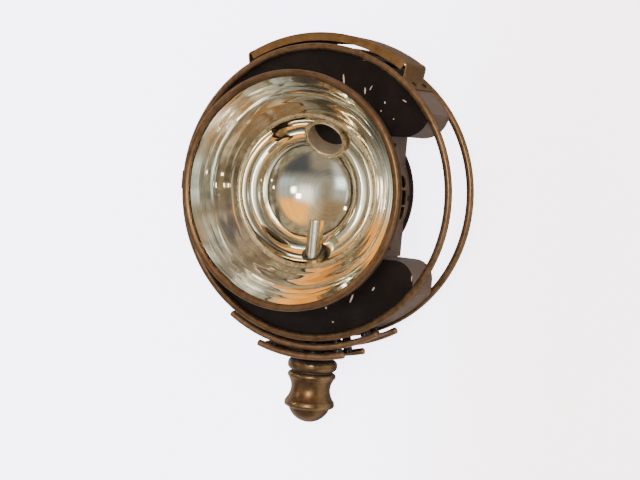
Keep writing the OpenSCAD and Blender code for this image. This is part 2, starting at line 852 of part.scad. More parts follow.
// Washer between the collar and the finial
module clamp_washer() {
    color(steel) translate([0, 0, -0.1 - washer_t]) difference() {
        cylinder(r = finial_top_r - 3.5, h = washer_t);
        translate([0, 0, -1]) cylinder(r = stem_r + loose, h = washer_t + 2);
    }
}

// Finial: turned nut with a top bead, a waist, a shoulder and a ball end
bead_h = 6;
foot_round = 2.6;
waist_steps = 12;

module finial() {
    bead = bead_h / 2;
    waist_top = finial_top - bead_h;
    waist_z = finial_top - 0.5 * finial_h;
    foot_z = finial_top - finial_h;
    waist_low = foot_z + foot_round;
    top_r = finial_top_r - 0.5 * bead;
    low_r = finial_foot_r - 0.4;
    ball_top = foot_z - foot_round - 1.6;
    cap_sphere = (pow(ball_r, 2) + pow(ball_h, 2)) / (2 * ball_h);
    cap_angle = asin(min(1, ball_r / cap_sphere));
    bore = stem_r + running;
    function waist(z) = z > waist_z
        ? finial_waist_r + (top_r - finial_waist_r) * pow((z - waist_z) / (waist_top - waist_z), 2)
        : finial_waist_r + (low_r - finial_waist_r) * pow((waist_z - z) / (waist_z - waist_low), 2);
    color(brass) rotate_extrude() polygon(concat(
        [[bore, finial_top]],
        arc(finial_top_r - bead, finial_top - bead, bead, 90, -60, 8),
        [for (i = [1 : waist_steps]) let (z = waist_top + (waist_low - waist_top) * i / waist_steps)
            [waist(z), z]],
        arc(finial_foot_r - foot_round, foot_z, foot_round, 20, -80, 8),
        [[ball_r + 0.4, ball_top + 0.8]],
        [for (i = [0 : 10]) let (a = cap_angle * (1 - i / 10))
            [cap_sphere * sin(a), ball_top - ball_h + cap_sphere * (1 - cos(a))]],
        [[0, stem_bore_end], [bore, stem_bore_end]]));
}

// Door: ring with a rounded face and a skirt that drops over the casing's rim
module bezel() {
    face = lip_back - lip_t;
    edge = 2.2;
    color(brass) on_lens() turned(concat(
        [[skirt_in_r, skirt_back], [skirt_in_r, lip_back], [glass_sight_r, lip_back],
         [glass_sight_r, face + 0.4], [glass_sight_r + 0.4, face],
         [glass_sight_r + 0.35 * (bezel_r - glass_sight_r), face - 0.75]],
        arc(bezel_r - edge, face + edge - 1, edge, 270 - 360, 0, 6),
        [[bezel_r, skirt_back]]));
}

function glass_sag(r) = glass_dome * (1 - pow(r / glass_flat_r, 2));

module front_glass() {
    n = 12;
    color([0.75, 0.85, 0.82, 0.4]) on_lens() turned(concat(
        [[glass_r, gasket_back + seam], [glass_r, glass_back - seam]],
        [for (i = [0 : n]) let (r = glass_flat_r * (1 - i / n)) [r, glass_back - seam - glass_sag(r)]],
        [for (i = [0 : n]) let (r = glass_flat_r * i / n) [r, gasket_back + seam - glass_sag(r)]]));
}

module glass_gasket() {
    color([0.25, 0.22, 0.18]) on_lens() turned([
        [glass_sight_r + 0.5, gasket_back - gasket_t], [skirt_in_r - 0.1, gasket_back - gasket_t],
        [skirt_in_r - 0.1, gasket_back], [glass_sight_r + 0.5, gasket_back]]);
}

module glass_ring() {
    color(brass) on_lens() turned([
        [glass_sight_r + 1, glass_ring_back - glass_ring_t], [skirt_in_r - 0.1, glass_ring_back - glass_ring_t],
        [skirt_in_r - 0.1, glass_ring_back], [glass_sight_r + 1, glass_ring_back]]);
}

// Hinge: middle knuckle and leaf on the door, outer knuckles on a bracket on the casing
module hinge_leaf() {
    leaf_x = -bezel_r - seam - leaf_t;
    color(brass) on_lens() difference() {
        union() {
            translate([hinge_x, hinge_y, -knuckle_h]) cylinder(r = knuckle_r, h = 2 * knuckle_h);
            translate([leaf_x, lip_back - 1, -leaf_h]) cube([leaf_t, skirt_back - lip_back + 1, 2 * leaf_h]);
            translate([leaf_x, lip_back, -knuckle_h]) cube([leaf_t, hinge_y - lip_back, 2 * knuckle_h]);
        }
        translate([hinge_x, hinge_y, -2 * leaf_h]) cylinder(r = pin_r + running, h = 4 * leaf_h);
    }
}

module hinge_bracket() {
    arm_t = 1.4;
    color(brass) on_lens() difference() {
        union() {
            for (z = [-leaf_h - 1, knuckle_h + loose])
                translate([hinge_x, hinge_y, z]) cylinder(r = knuckle_r, h = leaf_h + 1 - knuckle_h - loose);
            translate([hinge_x, hinge_y - arm_t / 2, -leaf_h - 1])
                cube([-hinge_x - flare_in_r, arm_t, 2 * leaf_h + 2]);
        }
        translate([hinge_x - knuckle_r, hinge_y - arm_t, -knuckle_h - loose])
            cube([2 * knuckle_r + leaf_t + 1, 2 * arm_t, 2 * knuckle_h + 2 * loose]);
        translate([hinge_x, hinge_y, -2 * leaf_h]) cylinder(r = pin_r + running, h = 4 * leaf_h);
        translate([0, -seam, 0]) casing_solid();
        translate([0, seam, 0]) casing_solid();
    }
}

// Catch: spring strip on the back of the casing's rim, its nose close to the skirt
catch_half = 3;
catch_t = 0.8;
catch_len = 4;
catch_nose = 1.8;

module door_catch() {
    shift = flare_t + casing_gap + casing_t;
    back = rim_y + rim_t + seam;
    nose_r = skirt_in_r - loose;
    root_r = flare_r(back - shift) + 1.5 * seam;
    tail_r = flare_r(back + catch_len - shift) + 1.5 * seam;
    color(steel) on_lens() rotate([-90, 0, 0]) rotate([0, 0, -catch_half])
        rotate_extrude(angle = 2 * catch_half) polygon([
            [tail_r, back + catch_len], [root_r, back], [nose_r - catch_t, back],
            [nose_r, back + catch_t], [nose_r, back + catch_nose],
            [nose_r - catch_t, back + catch_nose], [root_r + catch_t, back + catch_t],
            [tail_r + catch_t, back + catch_len]]);
}

module hinge_pin() {
    color(steel) on_lens() translate([hinge_x, hinge_y, 0]) {
        translate([0, 0, -leaf_h - 2]) cylinder(r = pin_r, h = 2 * leaf_h + 4);
        for (z = [-leaf_h - 2.4, leaf_h + 1 + seam]) translate([0, 0, z])
            cylinder(r = 1.7 * pin_r, h = 1.4 - seam);
    }
}

front_hoop();
rear_hoop();
upper_front_plate();
upper_rear_plate();
upper_wall();
lower_front_plate();
lower_rear_plate();
lower_wall();
chimney_cap();
cap_rivets();
inner_baffle();
outer_baffle();
baffle_spacers();
drum_shell();
rear_cover();
cover_screws();
upper_saddles();
lower_saddles();
flare_casing();
flare_reflector();
mirror_bowl();
mirror_ring();
chimney_throat();
throat_ring();
burner_tube();
burner_jet();
burner_grommet();
burner_nut();
gas_pipe();
gas_inlet();
stem();
stem_plate();
stem_nut();
collar();
hinge_bracket();
hinge_pin();
door_catch();
bezel();
front_glass();
glass_gasket();
glass_ring();
hinge_leaf();
clamp_washer();
finial();
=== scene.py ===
import bmesh
import bpy
import numpy as np
from mathutils import Matrix, Vector


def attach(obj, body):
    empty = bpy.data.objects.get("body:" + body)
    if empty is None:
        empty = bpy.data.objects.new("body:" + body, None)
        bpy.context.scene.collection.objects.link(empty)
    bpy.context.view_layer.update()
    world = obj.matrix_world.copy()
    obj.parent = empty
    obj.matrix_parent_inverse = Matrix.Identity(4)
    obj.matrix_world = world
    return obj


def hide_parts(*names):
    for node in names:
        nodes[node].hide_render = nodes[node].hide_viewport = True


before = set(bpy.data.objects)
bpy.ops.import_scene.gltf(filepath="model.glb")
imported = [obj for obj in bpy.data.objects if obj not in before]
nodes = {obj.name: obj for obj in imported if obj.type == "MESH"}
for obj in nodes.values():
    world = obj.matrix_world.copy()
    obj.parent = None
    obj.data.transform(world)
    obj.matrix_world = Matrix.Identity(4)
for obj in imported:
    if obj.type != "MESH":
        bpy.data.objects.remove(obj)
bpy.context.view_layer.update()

# Camera: low and to the lamp's right, turned a little in the picture, with a long lens
# as in a studio shot of a single object on white paper.
turn, lift, roll = np.radians([25.173, 4.037, 5.058])
distance, shift_right, shift_up = 1.4347, 0.010562, -0.040693
focus_px, picture_px, film_mm = 1645.3, 640.0, 36.0
back = np.array([np.sin(turn) * np.cos(lift), -np.cos(turn) * np.cos(lift), np.sin(lift)])
level = np.array([np.cos(turn), np.sin(turn), 0.0])
upright = np.cross(back, level)
right = np.cos(roll) * level + np.sin(roll) * upright
up = -np.sin(roll) * level + np.cos(roll) * upright
hoop_centre = np.array([0.0, -0.0325, 0.16])
eye = hoop_centre + back * distance + level * shift_right + upright * shift_up


def put(name, data):
    """Puts a new object with its data into the scene."""
    thing = bpy.data.objects.new(name, data)
    bpy.context.scene.collection.objects.link(thing)
    return thing


camera = put("camera", bpy.data.cameras.new("camera"))
camera.data.sensor_width, camera.data.lens = film_mm, focus_px * film_mm / picture_px
camera.matrix_world = Matrix([*np.stack([right, up, back, eye], 1).tolist(), [0, 0, 0, 1]])
bpy.context.scene.camera = camera


# Studio: white paper close behind the lamp and a pale floor below it. The room in front is
# warm and dim, with a wooden floor and bright windows that only the mirror shows.
paper_left, paper_right, paper_fill = (5.2, 5.1, 6.6), (4.2, 3.8, 3.9), 0.85


def add(tree, kind, joins=(), **settings):
    """Adds one shader node, sets its settings, and joins or sets its inputs."""
    node = tree.nodes.new("ShaderNode" + kind)
    for key, value in settings.items():
        setattr(node, key, value)
    for key, value in dict(joins).items():
        if isinstance(value, bpy.types.NodeSocket):
            tree.links.new(value, node.inputs[key])
        else:
            node.inputs[key].default_value = value
    return node


def tree_of(*values):
    """The node tree of the first socket among some values."""
    return next(value.id_data for value in values if isinstance(value, bpy.types.NodeSocket))


def maths(operation, first, second=0.0, **settings):
    """One sum on two numbers."""
    joins = {0: first, 1: second}
    return add(tree_of(first, second), "Math", joins, operation=operation, **settings).outputs[0]


def times(first, second):
    """One number times another."""
    return maths("MULTIPLY", first, second)


def blend(share, first, second, kind="MIX"):
    """Mixes two colours: the first where share is 0, the second where it is 1."""
    tree = tree_of(share, first, second)
    first, second = (v if isinstance(v, bpy.types.NodeSocket) else (*v, 1) for v in (first, second))
    return add(tree, "Mix", {0: share, 6: first, 7: second}, data_type="RGBA", blend_type=kind,
               clamp_factor=True).outputs[2]


def ramp(value, low, high, to_low=0.0, to_high=1.0):
    """Carries a value from low..high to to_low..to_high with soft ends."""
    return add(value.id_data, "MapRange", {0: value, 1: low, 2: high, 3: to_low, 4: to_high},
               interpolation_type="SMOOTHSTEP").outputs[0]


def noise(tree, scale, detail=3.0, rough=0.55, at=None):
    """Cloudy noise from 0 to 1 at a scale per metre, at the object's own places or others."""
    place = at or add(tree, "TexCoord").outputs["Object"]
    return add(tree, "TexNoise", {"Vector": place, "Scale": scale, "Detail": detail, "Roughness": rough}).outputs[0]


def soft_boxes(view, below, *boxes):
    """Lays boxes of light over the colour below them. Each is (x, y, half width, half height,
    soft edges in x and y, colour), in degrees about the room: full inside, gone past its edges."""
    for *box, red, green, blue in boxes:
        masks = [ramp(maths("ABSOLUTE", maths("SUBTRACT", place, middle)), half + soft, half)
                 for place, middle, half, soft in zip(view, box[:2], box[2:4], box[4:])]
        below = blend(times(*masks), below, (red, green, blue))
    return below


def straight_view(path):
    """1 for what the camera sees with no mirror or wall between, also through clear glass."""
    return maths("LESS_THAN", maths("ADD", path["Glossy Depth"], path["Diffuse Depth"]), 0.5)


world = bpy.data.worlds.new("room")
bpy.context.scene.world = world
world.use_nodes = True
tree = world.node_tree
tree.nodes.clear()
ray = add(tree, "TexCoord").outputs["Generated"]
split = add(tree, "SeparateXYZ", {0: ray}).outputs
ahead = times(split["Y"], -1.0)
across, upward, off_beam = (maths("DEGREES", maths(*angle)) for angle in (
    ("ARCTAN2", split["X"], ahead), ("ARCSINE", split["Z"]), ("ARCCOSINE", ahead)))
view = across, upward
room = blend(ramp(upward, -27, -5), (0.095, 0.097, 0.107), (0.7, 0.64, 0.56))
room = blend(ramp(upward, 5, 15), room, (0.85, 0.6, 0.36))
room = blend(ramp(upward, 36, 62), room, (0.36, 0.19, 0.09))
room = soft_boxes(
    view, room,
    (8, 6, 2, 3, 17, 14, 2.5, 2.35, 2.2), (-20, -2, 1, 6, 13, 14, 0.42, 0.32, 0.23),
    (24, 29, 15, 8, 17, 13, 2.2, 0.88, 0.13), (-38, 34, 13, 20, 18, 15, 0.42, 0.26, 0.14),
    (-16, -40, 8, 8, 18, 16, 0.42, 0.33, 0.25), (-48, -22, 9, 7, 16, 16, 0.9, 0.85, 0.8),
    (-40, -11, 3, 1, 9, 8, 2.6, 2.8, 3.1), (-54, 1, 3, 3, 6, 6, 3.2, 3.5, 4.0),
    (24, 1, 1.0, 1.0, 5, 5, 12.0, 11.6, 11.0), (36, -8, 8, 1, 9, 8, 0.7, 0.8, 0.82))
# the sides of the room, that only the flare shows: shelves, curtains, small lamps, and a
# pale wall further round that only its ridges catch
sides = blend(ramp(upward, -70, -25), (0.34, 0.3, 0.23), (0.36, 0.27, 0.17))
sides = blend(ramp(upward, 20, 62), sides, (0.52, 0.37, 0.22))
sides = soft_boxes(
    view, sides,
    (70, -4, 3, 8, 2, 16, 0.95, 1.0, 0.95), (64.5, 0, 1, 12, 2, 20, 0.2, 0.18, 0.13),
    (55, 0, 2.5, 16, 3, 20, 0.2, 0.15, 0.1), (66, 34, 2, 6, 3, 14, 0.6, 0.36, 0.17),
    (58, 38, 2, 6, 3, 14, 0.8, 0.72, 0.56), (52, 40, 3, 6, 4, 14, 0.14, 0.1, 0.07),
    (68, -36, 4, 8, 3, 14, 0.11, 0.1, 0.07), (57, -36, 1, 8, 4, 16, 0.8, 0.7, 0.56),
    (30, 66, 14, 2, 30, 5, 0.26, 0.17, 0.1), (0, 79, 40, 1.5, 30, 5, 1.5, 1.3, 1.0),
    (0, 72, 60, 1, 40, 3, 0.26, 0.17, 0.1), (0, -79, 50, 1, 30, 4, 0.9, 0.84, 0.68),
    (0, -70, 60, 3, 30, 5, 0.18, 0.15, 0.11), (55.5, 0, 0.6, 1.0, 1, 1, 14, 12, 9),
    (61.5, -9, 0.5, 0.8, 0.8, 0.8, 8, 7, 5))
sides = blend(1.0, sides, ramp(noise(tree, 7, at=ray), 0.35, 0.65, 0.7, 1.35), "MULTIPLY")
pale_wall = times(ramp(off_beam, 72, 75), ramp(across, 0, 20))
pale_wall = times(pale_wall, ramp(maths("ABSOLUTE", upward), 66, 44))
sides = blend(pale_wall, sides, (2.8, 2.7, 2.4))
room = blend(ramp(off_beam, 44, 52), room, sides)
room = blend(ramp(off_beam, 86, 92), room, (2.2, 2.15, 2.1))
room = blend(ramp(off_beam, 118, 135), room, (0.45, 0.44, 0.45))
# what shines straight back from the outside of the lamp is a dimmer part of the room
path = add(tree, "LightPath").outputs
straight = maths("SUBTRACT", path["Is Glossy Ray"], path["Is Transmission Ray"])
room = blend(maths("MULTIPLY", straight, 0.55, use_clamp=True), room, (0.04, 0.035, 0.03))
sky = add(tree, "Background", {"Color": blend(straight_view(path), room, paper_left)})
tree.links.new(sky.outputs[0], add(tree, "OutputWorld").inputs["Surface"])


def sheet_of_paper(name, corners):
    """A flat stage sheet: white paper that glows to the camera like the room beyond it and
    takes soft shadows. Polished metal and the rear don't show it."""
    mesh = bpy.data.meshes.new(name)
    mesh.from_pydata(corners, [], [(0, 1, 2, 3)])
    paper = bpy.data.materials.new(name)
    paper.use_nodes = True
    tree = paper.node_tree
    tree.nodes.clear()
    path = add(tree, "LightPath").outputs
    seen = straight_view(path)
    mirrored = maths("MAXIMUM", path["Is Glossy Ray"], path["Is Transmission Ray"])
    mirrored = maths("SUBTRACT", mirrored, seen, use_clamp=True)
    unseen = maths("MAXIMUM", add(tree, "NewGeometry").outputs["Backfacing"], mirrored)
    along = add(tree, "SeparateXYZ", {0: add(tree, "TexCoord").outputs["Object"]}).outputs["X"]
    white = blend(ramp(along, -0.05, 0.22), paper_left, paper_right)
    glow = add(tree, "Emission", {"Color": white, "Strength": times(seen, paper_fill)})
    matte = add(tree, "BsdfDiffuse", {"Color": (0.86, 0.85, 0.88, 1)})
    both = add(tree, "AddShader", {0: glow.outputs[0], 1: matte.outputs[0]})
    cut = add(tree, "MixShader", {0: unseen, 1: both.outputs[0], 2: add(tree, "BsdfTransparent").outputs[0]})
    tree.links.new(cut.outputs[0], add(tree, "OutputMaterial").inputs["Surface"])
    mesh.materials.append(paper)
    put(name, mesh)


reach, floor_z, wall_y, wall_top = 6, -0.35, 0.055, 5
for name, low, high in (("floor", (-reach, floor_z), (reach, floor_z)),
                        ("paper_wall", (wall_y, floor_z), (wall_y, wall_top))):
    sheet_of_paper(name, [(-reach, *low), (reach, *low), (reach, *high), (-reach, *high)])


def lamp_light(name, way, distance, size, power, colour):
    """A soft square studio light, set at a distance in a direction and turned to the lamp."""
    data = bpy.data.lights.new(name, "AREA")
    data.size, data.energy, data.color = size, power, colour
    light, way = put(name, data), Vector(way).normalized()
    light.location = Vector(hoop_centre) + way * distance
    light.rotation_euler = way.to_track_quat("Z", "Y").to_euler()


lamp_light("key", (0.27, -0.95, 0.14), 2.2, 0.22, 22, (1.0, 0.95, 0.88))
lamp_light("spot_left", (-0.75, -0.62, 0.22), 2.0, 0.1, 4, (1.0, 0.8, 0.52))


# Hoops: two rings of round-cornered brass bar, bent and brazed, that clasp the two boxes.
# The brass has gone brown, and is rubbed paler along its edges.
hoop_r, hoop_w, hoop_d, hoop_gap = 130.0, 6.2, 6.4, 53.0


def coords(*each):
    """Points from their coordinates, each an array or a number."""
    return np.stack(np.broadcast_arrays(*each), -1)


def chain(*runs):
    """Runs of points, one after another."""
    return np.concatenate(runs)


def bar_section(width, depth, corner, steps):
    """Outline of a bar with round corners: four quarter circles about the corner centres,
    as (across, along the beam) from the bar's middle."""
    a = np.radians(np.arange(4)[:, None] * 90 + np.linspace(0, 90, steps))
    across = np.array([1, -1, -1, 1])[:, None] * (width / 2 - corner) + corner * np.cos(a)
    along = np.array([1, 1, -1, -1])[:, None] * (depth / 2 - corner) + corner * np.sin(a)
    return coords(across, along).reshape(-1, 2)


def bend_marks(profile, closed=True):
    """How sharply a profile turns at each point, 0 on a straight and 1 on its tightest bend:
    the angle between neighbouring sides over their mean length."""
    after, before = np.roll(profile, -1, 0) - profile, profile - np.roll(profile, 1, 0)
    if not closed:
        after[-1], before[0] = before[-1], after[0]
    angle = np.abs(np.angle((after @ [1, 1j]) * np.conj(before @ [1, 1j])))
    sharp = angle / (np.linalg.norm(after, axis=1) + np.linalg.norm(before, axis=1) + 1e-9)
    return np.clip(sharp / (np.percentile(sharp, 90) + 1e-9), 0, 1)


def turned(profile, centre=(0, 0, 0), axis=(0, 1, 0), top=(0, 0, 1), steps=288, start=0.0, end=360.0):
    """Turns a profile of (radius, along the axis) about an axis through a centre:
    centre + along axis + radius (cos a top + sin a side), with a counted from top."""
    profile, centre, axis, top = (np.array(v, float) for v in (profile, centre, axis, top))
    side = np.cross(axis, top)
    a = np.radians(np.linspace(start, end, steps, endpoint=end - start < 360))[:, None, None]
    r, h = profile[:, 0][:, None], profile[:, 1][:, None]
    return centre + h * axis + r * (np.cos(a) * top + np.sin(a) * side)


def part(points, closed_u=True, closed_v=True, worn=0.0, kept=None):
    """A grid of points: whether it closes on itself along each of its two ways, how worn it
    is, and which of its cells are kept."""
    return points, closed_u, closed_v, worn, kept


def surface(name, *parts, crease=35, walls=0.0):
    """A mesh piece from parts in millimetres about the hoop centre: neighbouring points are
    joined by four-sided faces, and doubled points are merged. Walls thicken an open surface
    inwards; below 0 it faces inwards and thickens outwards."""
    places, faces, marks, start = [], [], [], 0
    for points, closed_u, closed_v, worn, kept in parts:
        rows, columns = points.shape[:2]
        index = np.arange(rows * columns).reshape(rows, columns) + start
        index = np.pad(index, ((0, int(closed_u)), (0, int(closed_v))), "wrap")
        cells = coords(index[:-1, :-1], index[:-1, 1:], index[1:, 1:], index[1:, :-1])
        cells = cells.reshape(-1, 4) if kept is None else cells[kept]
        flat = points.reshape(-1, 3)
        a, b, c, d = np.moveaxis(flat[cells - start], 1, 0)
        volume = (a * (np.cross(b, c) + np.cross(c, d))).sum()
        if (volume < 0) != (walls < 0):
            cells = cells[:, ::-1]
        places.append(flat)
        faces.append(cells)
        marks.append(np.broadcast_to(worn, (rows, columns)).reshape(-1))
        start += rows * columns
    mesh = bpy.data.meshes.new(name)
    mesh.from_pydata((chain(*places) + hoop_centre * 1000) / 1000, [], chain(*faces).tolist())
    mesh.attributes.new("worn", "FLOAT", "POINT").data.foreach_set("value", chain(*marks))
    melt = bmesh.new()
    melt.from_mesh(mesh)
    bmesh.ops.remove_doubles(melt, verts=melt.verts, dist=2e-6)
    bmesh.ops.delete(melt, geom=[v for v in melt.verts if not v.link_faces], context="VERTS")
    melt.to_mesh(mesh)
    melt.free()
    mesh.polygons.foreach_set("use_smooth", np.ones(len(mesh.polygons), bool))
    mesh.set_sharp_from_angle(angle=float(np.radians(crease)))
    piece = put(name, mesh)
    if walls:
        thick = piece.modifiers.new("wall", "SOLIDIFY")
        thick.thickness, thick.offset, thick.use_even_offset = abs(walls) / 1000, -1, True
    return piece


def turned_piece(name, profile, *way, closed=True, worn=0.0, crease=35, **turn):
    """A mesh piece turned from one profile, closed unless it starts and ends on the axis."""
    return surface(name, part(turned(profile, *way, **turn), True, closed, worn), crease=crease)


def fit(piece, material, node, body="lamp"):
    """Gives a piece its material, slot and body, and hides the node it stands for."""
    piece.data.materials.clear()
    piece.data.materials.append(material)
    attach(piece, body)
    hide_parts(node)


def shader_group(name, inputs, outputs=("Colour", "Roughness", "Height")):
    """Starts a node group with named inputs, each with its value, and named outputs."""
    group = bpy.data.node_groups.new(name, "ShaderNodeTree")
    for label, value in inputs.items():
        kind = {3: "Vector", 4: "Color"}[len(value)] if isinstance(value, tuple) else "Float"
        socket = group.interface.new_socket(label, in_out="INPUT", socket_type="NodeSocket" + kind)
        socket.default_value = value
    for label in outputs:
        kind = "Color" if label == "Colour" else "Float"
        group.interface.new_socket(label, in_out="OUTPUT", socket_type="NodeSocket" + kind)
    return group, group.nodes.new("NodeGroupInput").outputs, group.nodes.new("NodeGroupOutput").inputs


def hand_out(made, **values):
    """Joins values to a group's outputs of the same names."""
    for label, value in values.items():
        value.id_data.links.new(value, made[label])


def total(start, *terms):
    """A starting value, plus each term's value times its weight."""
    for value, weight in terms:
        joins = {0: value, 1: weight, 2: start}
        start = add(value.id_data, "Math", joins, operation="MULTIPLY_ADD").outputs[0]
    return start


# old brass: brown where the air has got at it, paler where hands and cloths have rubbed,
# with small dark pits and fine scratches
old_brass, given, made = shader_group("old brass", {
    "Brown": (0.3, 0.2, 0.1, 1), "Rubbed": (0.6, 0.42, 0.22, 1), "Worn": 0.0, "Smoothness": 0.5})
tree = old_brass
clouds = ramp(noise(tree, 24, 4), 0.3, 0.7)
mottle = ramp(noise(tree, 190, 5, 0.62), 0.32, 0.68)
pits = ramp(noise(tree, 820, 2), 0.7, 0.76)
dull = total(0.0, (clouds, 0.6), (mottle, 0.4))
tone = blend(dull, (0.74, 0.7, 0.64), (1.12, 1.12, 1.14))
tone = blend(1.0, given["Brown"], tone, "MULTIPLY")
rub = times(given["Worn"], ramp(mottle, 0.0, 0.8, 0.45, 1.0))
tone = blend(rub, tone, given["Rubbed"])
hand_out(made, Colour=blend(times(pits, 0.7), tone, (0.035, 0.025, 0.018)),
         Roughness=total(0.57, (given["Smoothness"], -0.45), (mottle, 0.1), (rub, -0.06), (pits, 0.2)),
         Height=total(0.0, (noise(tree, 1900), 0.35), (mottle, 0.5), (pits, -0.8)))


def plain_finish(name, **values):
    """A new material with its tree and its shader, and values set on the sockets."""
    material = bpy.data.materials.new(name)
    material.use_nodes = True
    shader = material.node_tree.nodes["Principled BSDF"]
    for key, value in values.items():
        shader.inputs[key.replace("_", " ")].default_value = value
    return material, material.node_tree, shader


def worked_finish(name, group, strength, relief, values, **plain):
    """A material with a group's colour, roughness and bump, and the group's inputs set."""
    material, tree, shader = plain_finish(name, **plain)
    values = {key: (*value, 1) if isinstance(value, tuple) else value for key, value in values.items()}
    work = add(tree, "Group", values, node_tree=group)
    bump = add(tree, "Bump", {"Height": work.outputs["Height"], "Strength": strength, "Distance": relief})
    for source, key in ((work.outputs["Colour"], "Base Color"), (work.outputs["Roughness"], "Roughness"),
                        (bump.outputs[0], "Normal")):
        tree.links.new(source, shader.inputs[key])
    return material, tree, shader, work, bump


def brass_finish(name, brown, rubbed, smoothness):
    """Old brass with its own two colours and smoothness; worn edges come from the mesh."""
    values = {"Brown": brown, "Rubbed": rubbed, "Smoothness": smoothness}
    material, tree, _, work, _ = worked_finish(name, old_brass, 0.5, 0.00008, values, Metallic=1.0)
    tree.links.new(add(tree, "Attribute", attribute_name="worn").outputs["Fac"], work.inputs["Worn"])
    return material


hoop_brass = brass_finish("hoop_brass", (0.155, 0.088, 0.04), (0.3, 0.19, 0.095), 0.45)
section = bar_section(hoop_w, hoop_d, 0.42 * hoop_w, 9)
for name, node, y in (("front_ring", "front_hoop", 0.0), ("rear_ring", "rear_hoop", hoop_gap)):
    ring = turned_piece(name, section + [hoop_r - hoop_w / 2, y], worn=bend_marks(section) * 0.55, steps=360)
    fit(ring, hoop_brass, node)


# Chimney box above and air box below: black front and rear plates with a bent wall of sheet
# brass between them, enamelled and worn to a brown grey, with slots that let the air through.
sheet, wall_r = 1.2, 127.5
plate_front, plate_back = hoop_d / 2, hoop_gap - hoop_d / 2
upper = dict(half=wall_r - 25.5, floor=55.0, corner=24.0, rise=1.5)
lower = dict(half=wall_r - 27.5, floor=50.5, corner=17.0, rise=-1.5)
drum_seat = 68.55
slot_w, slot_len, slot_step, cradle_slot = 14.0, 28.0, 12.0, (6.8, 46.2)


def clock(radius, a):
    """Points on a circle by their angles from straight up: radius (sin a, cos a)."""
    return radius * coords(np.sin(a), np.cos(a))


def arc(x, z, radius, start, end, count):
    """Points on a circular arc about (x, z), by angle in degrees."""
    a = np.radians(np.linspace(start, end, count))
    return [x, z] + radius * coords(np.cos(a), np.sin(a))


def box_path(half, floor, corner, rise, slots):
    """Outline of a box as (x, z), once round, in arcs and straights: the curved wall, with
    points at the edges of its slots, the rounded end, the level floor and the drum's cradle."""
    cx, cz = half - corner, floor + corner
    upright_end = np.hypot(half, cz) < wall_r
    if upright_end:
        top_end, bend_from = np.arcsin(half / wall_r), 0.0
    else:
        reach = np.hypot(cx, cz)
        top_end = np.arctan2(cx, cz) + np.arccos((wall_r ** 2 + reach ** 2 - corner ** 2) / (2 * wall_r * reach))
        bend_from = np.arctan2(wall_r * np.cos(top_end) - cz, wall_r * np.sin(top_end) - cx)
    edges = np.radians(slots[:, None] + np.degrees(slot_w / 2 / wall_r) * np.array([-1, 1])).ravel()
    a = np.unique(chain(np.linspace(-top_end, top_end, 121), edges))
    a = a[np.append(True, np.diff(a) > 1e-3) | np.isin(a, edges)]
    wall = clock(wall_r, a)
    end = arc(cx, cz, corner, np.degrees(bend_from), -90, 26)[0 if upright_end else 1:]
    drum_x = np.sqrt(drum_seat ** 2 - (floor - rise) ** 2)
    straight = coords(np.linspace(cx, drum_x, 8)[1:], floor)
    c = np.linspace(np.arctan2(drum_x, floor - rise), 0, 22)[1:]
    side = chain(end, straight, [0, rise] + clock(drum_seat, c))
    return chain(wall, side, (side * [-1, 1])[::-1][1:])


def box_wall(name, shape, slots, window, flip):
    """The bent wall of a box: its outline carried along the beam between the two plates, with
    the slots and the window in both halves of its cradle open, and a sheet's thickness inwards."""
    path = box_path(**shape, slots=slots)
    y0, y1 = plate_front + sheet + 0.02, plate_back - sheet - 0.02
    middle = (plate_front + plate_back) / 2
    cuts = [y0, y0 + 0.4, middle - slot_len / 2, middle + slot_len / 2, y1 - 0.4, y1, *cradle_slot]
    y = np.unique(np.round(chain(np.linspace(y0, y1, 15), cuts), 3))
    grid = coords(path[:, None, 0], y, flip * path[:, None, 1])
    mid = (path + np.roll(path, -1, 0)) / 2
    across = (y[:-1] + y[1:]) / 2
    turn_at = np.degrees(np.arctan2(mid[:, 0], mid[:, 1]))[:, None]
    on_wall = (np.hypot(*mid.T) > wall_r - 0.5)[:, None]
    in_slot = np.abs(turn_at - slots).min(1, keepdims=True) < np.degrees(slot_w / 2 / wall_r)
    cut = on_wall & in_slot & (np.abs(across - middle) < slot_len / 2)
    x, on_cradle = np.abs(mid[:, :1]), np.hypot(mid[:, :1], mid[:, 1:] - shape["rise"]) < drum_seat + 0.5
    cut |= on_cradle & (x > window[0]) & (x < window[1]) & (across > cradle_slot[0]) & (across < cradle_slot[1])
    return surface(name, part(grid, True, False, kept=~cut), walls=sheet)


# old enamel: a coat that is glossy where whole, with brush marks, fine dust and thin places
# that let the brass below show through
old_enamel, given, made = shader_group("old enamel", {
    "Coat": (0.02, 0.02, 0.02, 1), "Thin": (0.1, 0.08, 0.06, 1), "Wear": 0.5, "Gloss": 0.7})
tree = old_enamel
place = add(tree, "TexCoord").outputs["Object"]
drawn = add(tree, "Mapping", {"Vector": place, "Scale": (70, 700, 1100), "Rotation": (0, 0.3, 0)}).outputs[0]
brush = noise(tree, 1.0, 3, 0.6, drawn)
dust = ramp(noise(tree, 1300, 2), 0.71, 0.8)
thin = times(ramp(noise(tree, 34, 5, 0.6), 0.38, 0.68), given["Wear"])
tone = blend(thin, given["Coat"], given["Thin"])
tone = blend(times(ramp(brush, 0.45, 0.75), 0.22), tone, given["Thin"])
hand_out(made, Colour=blend(times(dust, 0.25), tone, (0.42, 0.37, 0.31)),
         Roughness=total(0.75, (given["Gloss"], -0.6), (thin, 0.18), (dust, 0.2)),
         Height=total(0.0, (brush, 0.6), (dust, 0.6)))


def vector(operation, first, second=(0, 0, 0)):
    """One sum on a vector and another, or on a vector and a number to scale it by."""
    joins = {0: first, 3 if operation == "SCALE" else 1: second}
    made = add(first.id_data, "VectorMath", joins, operation=operation).outputs
    return made["Value" if operation == "LENGTH" else "Vector"]
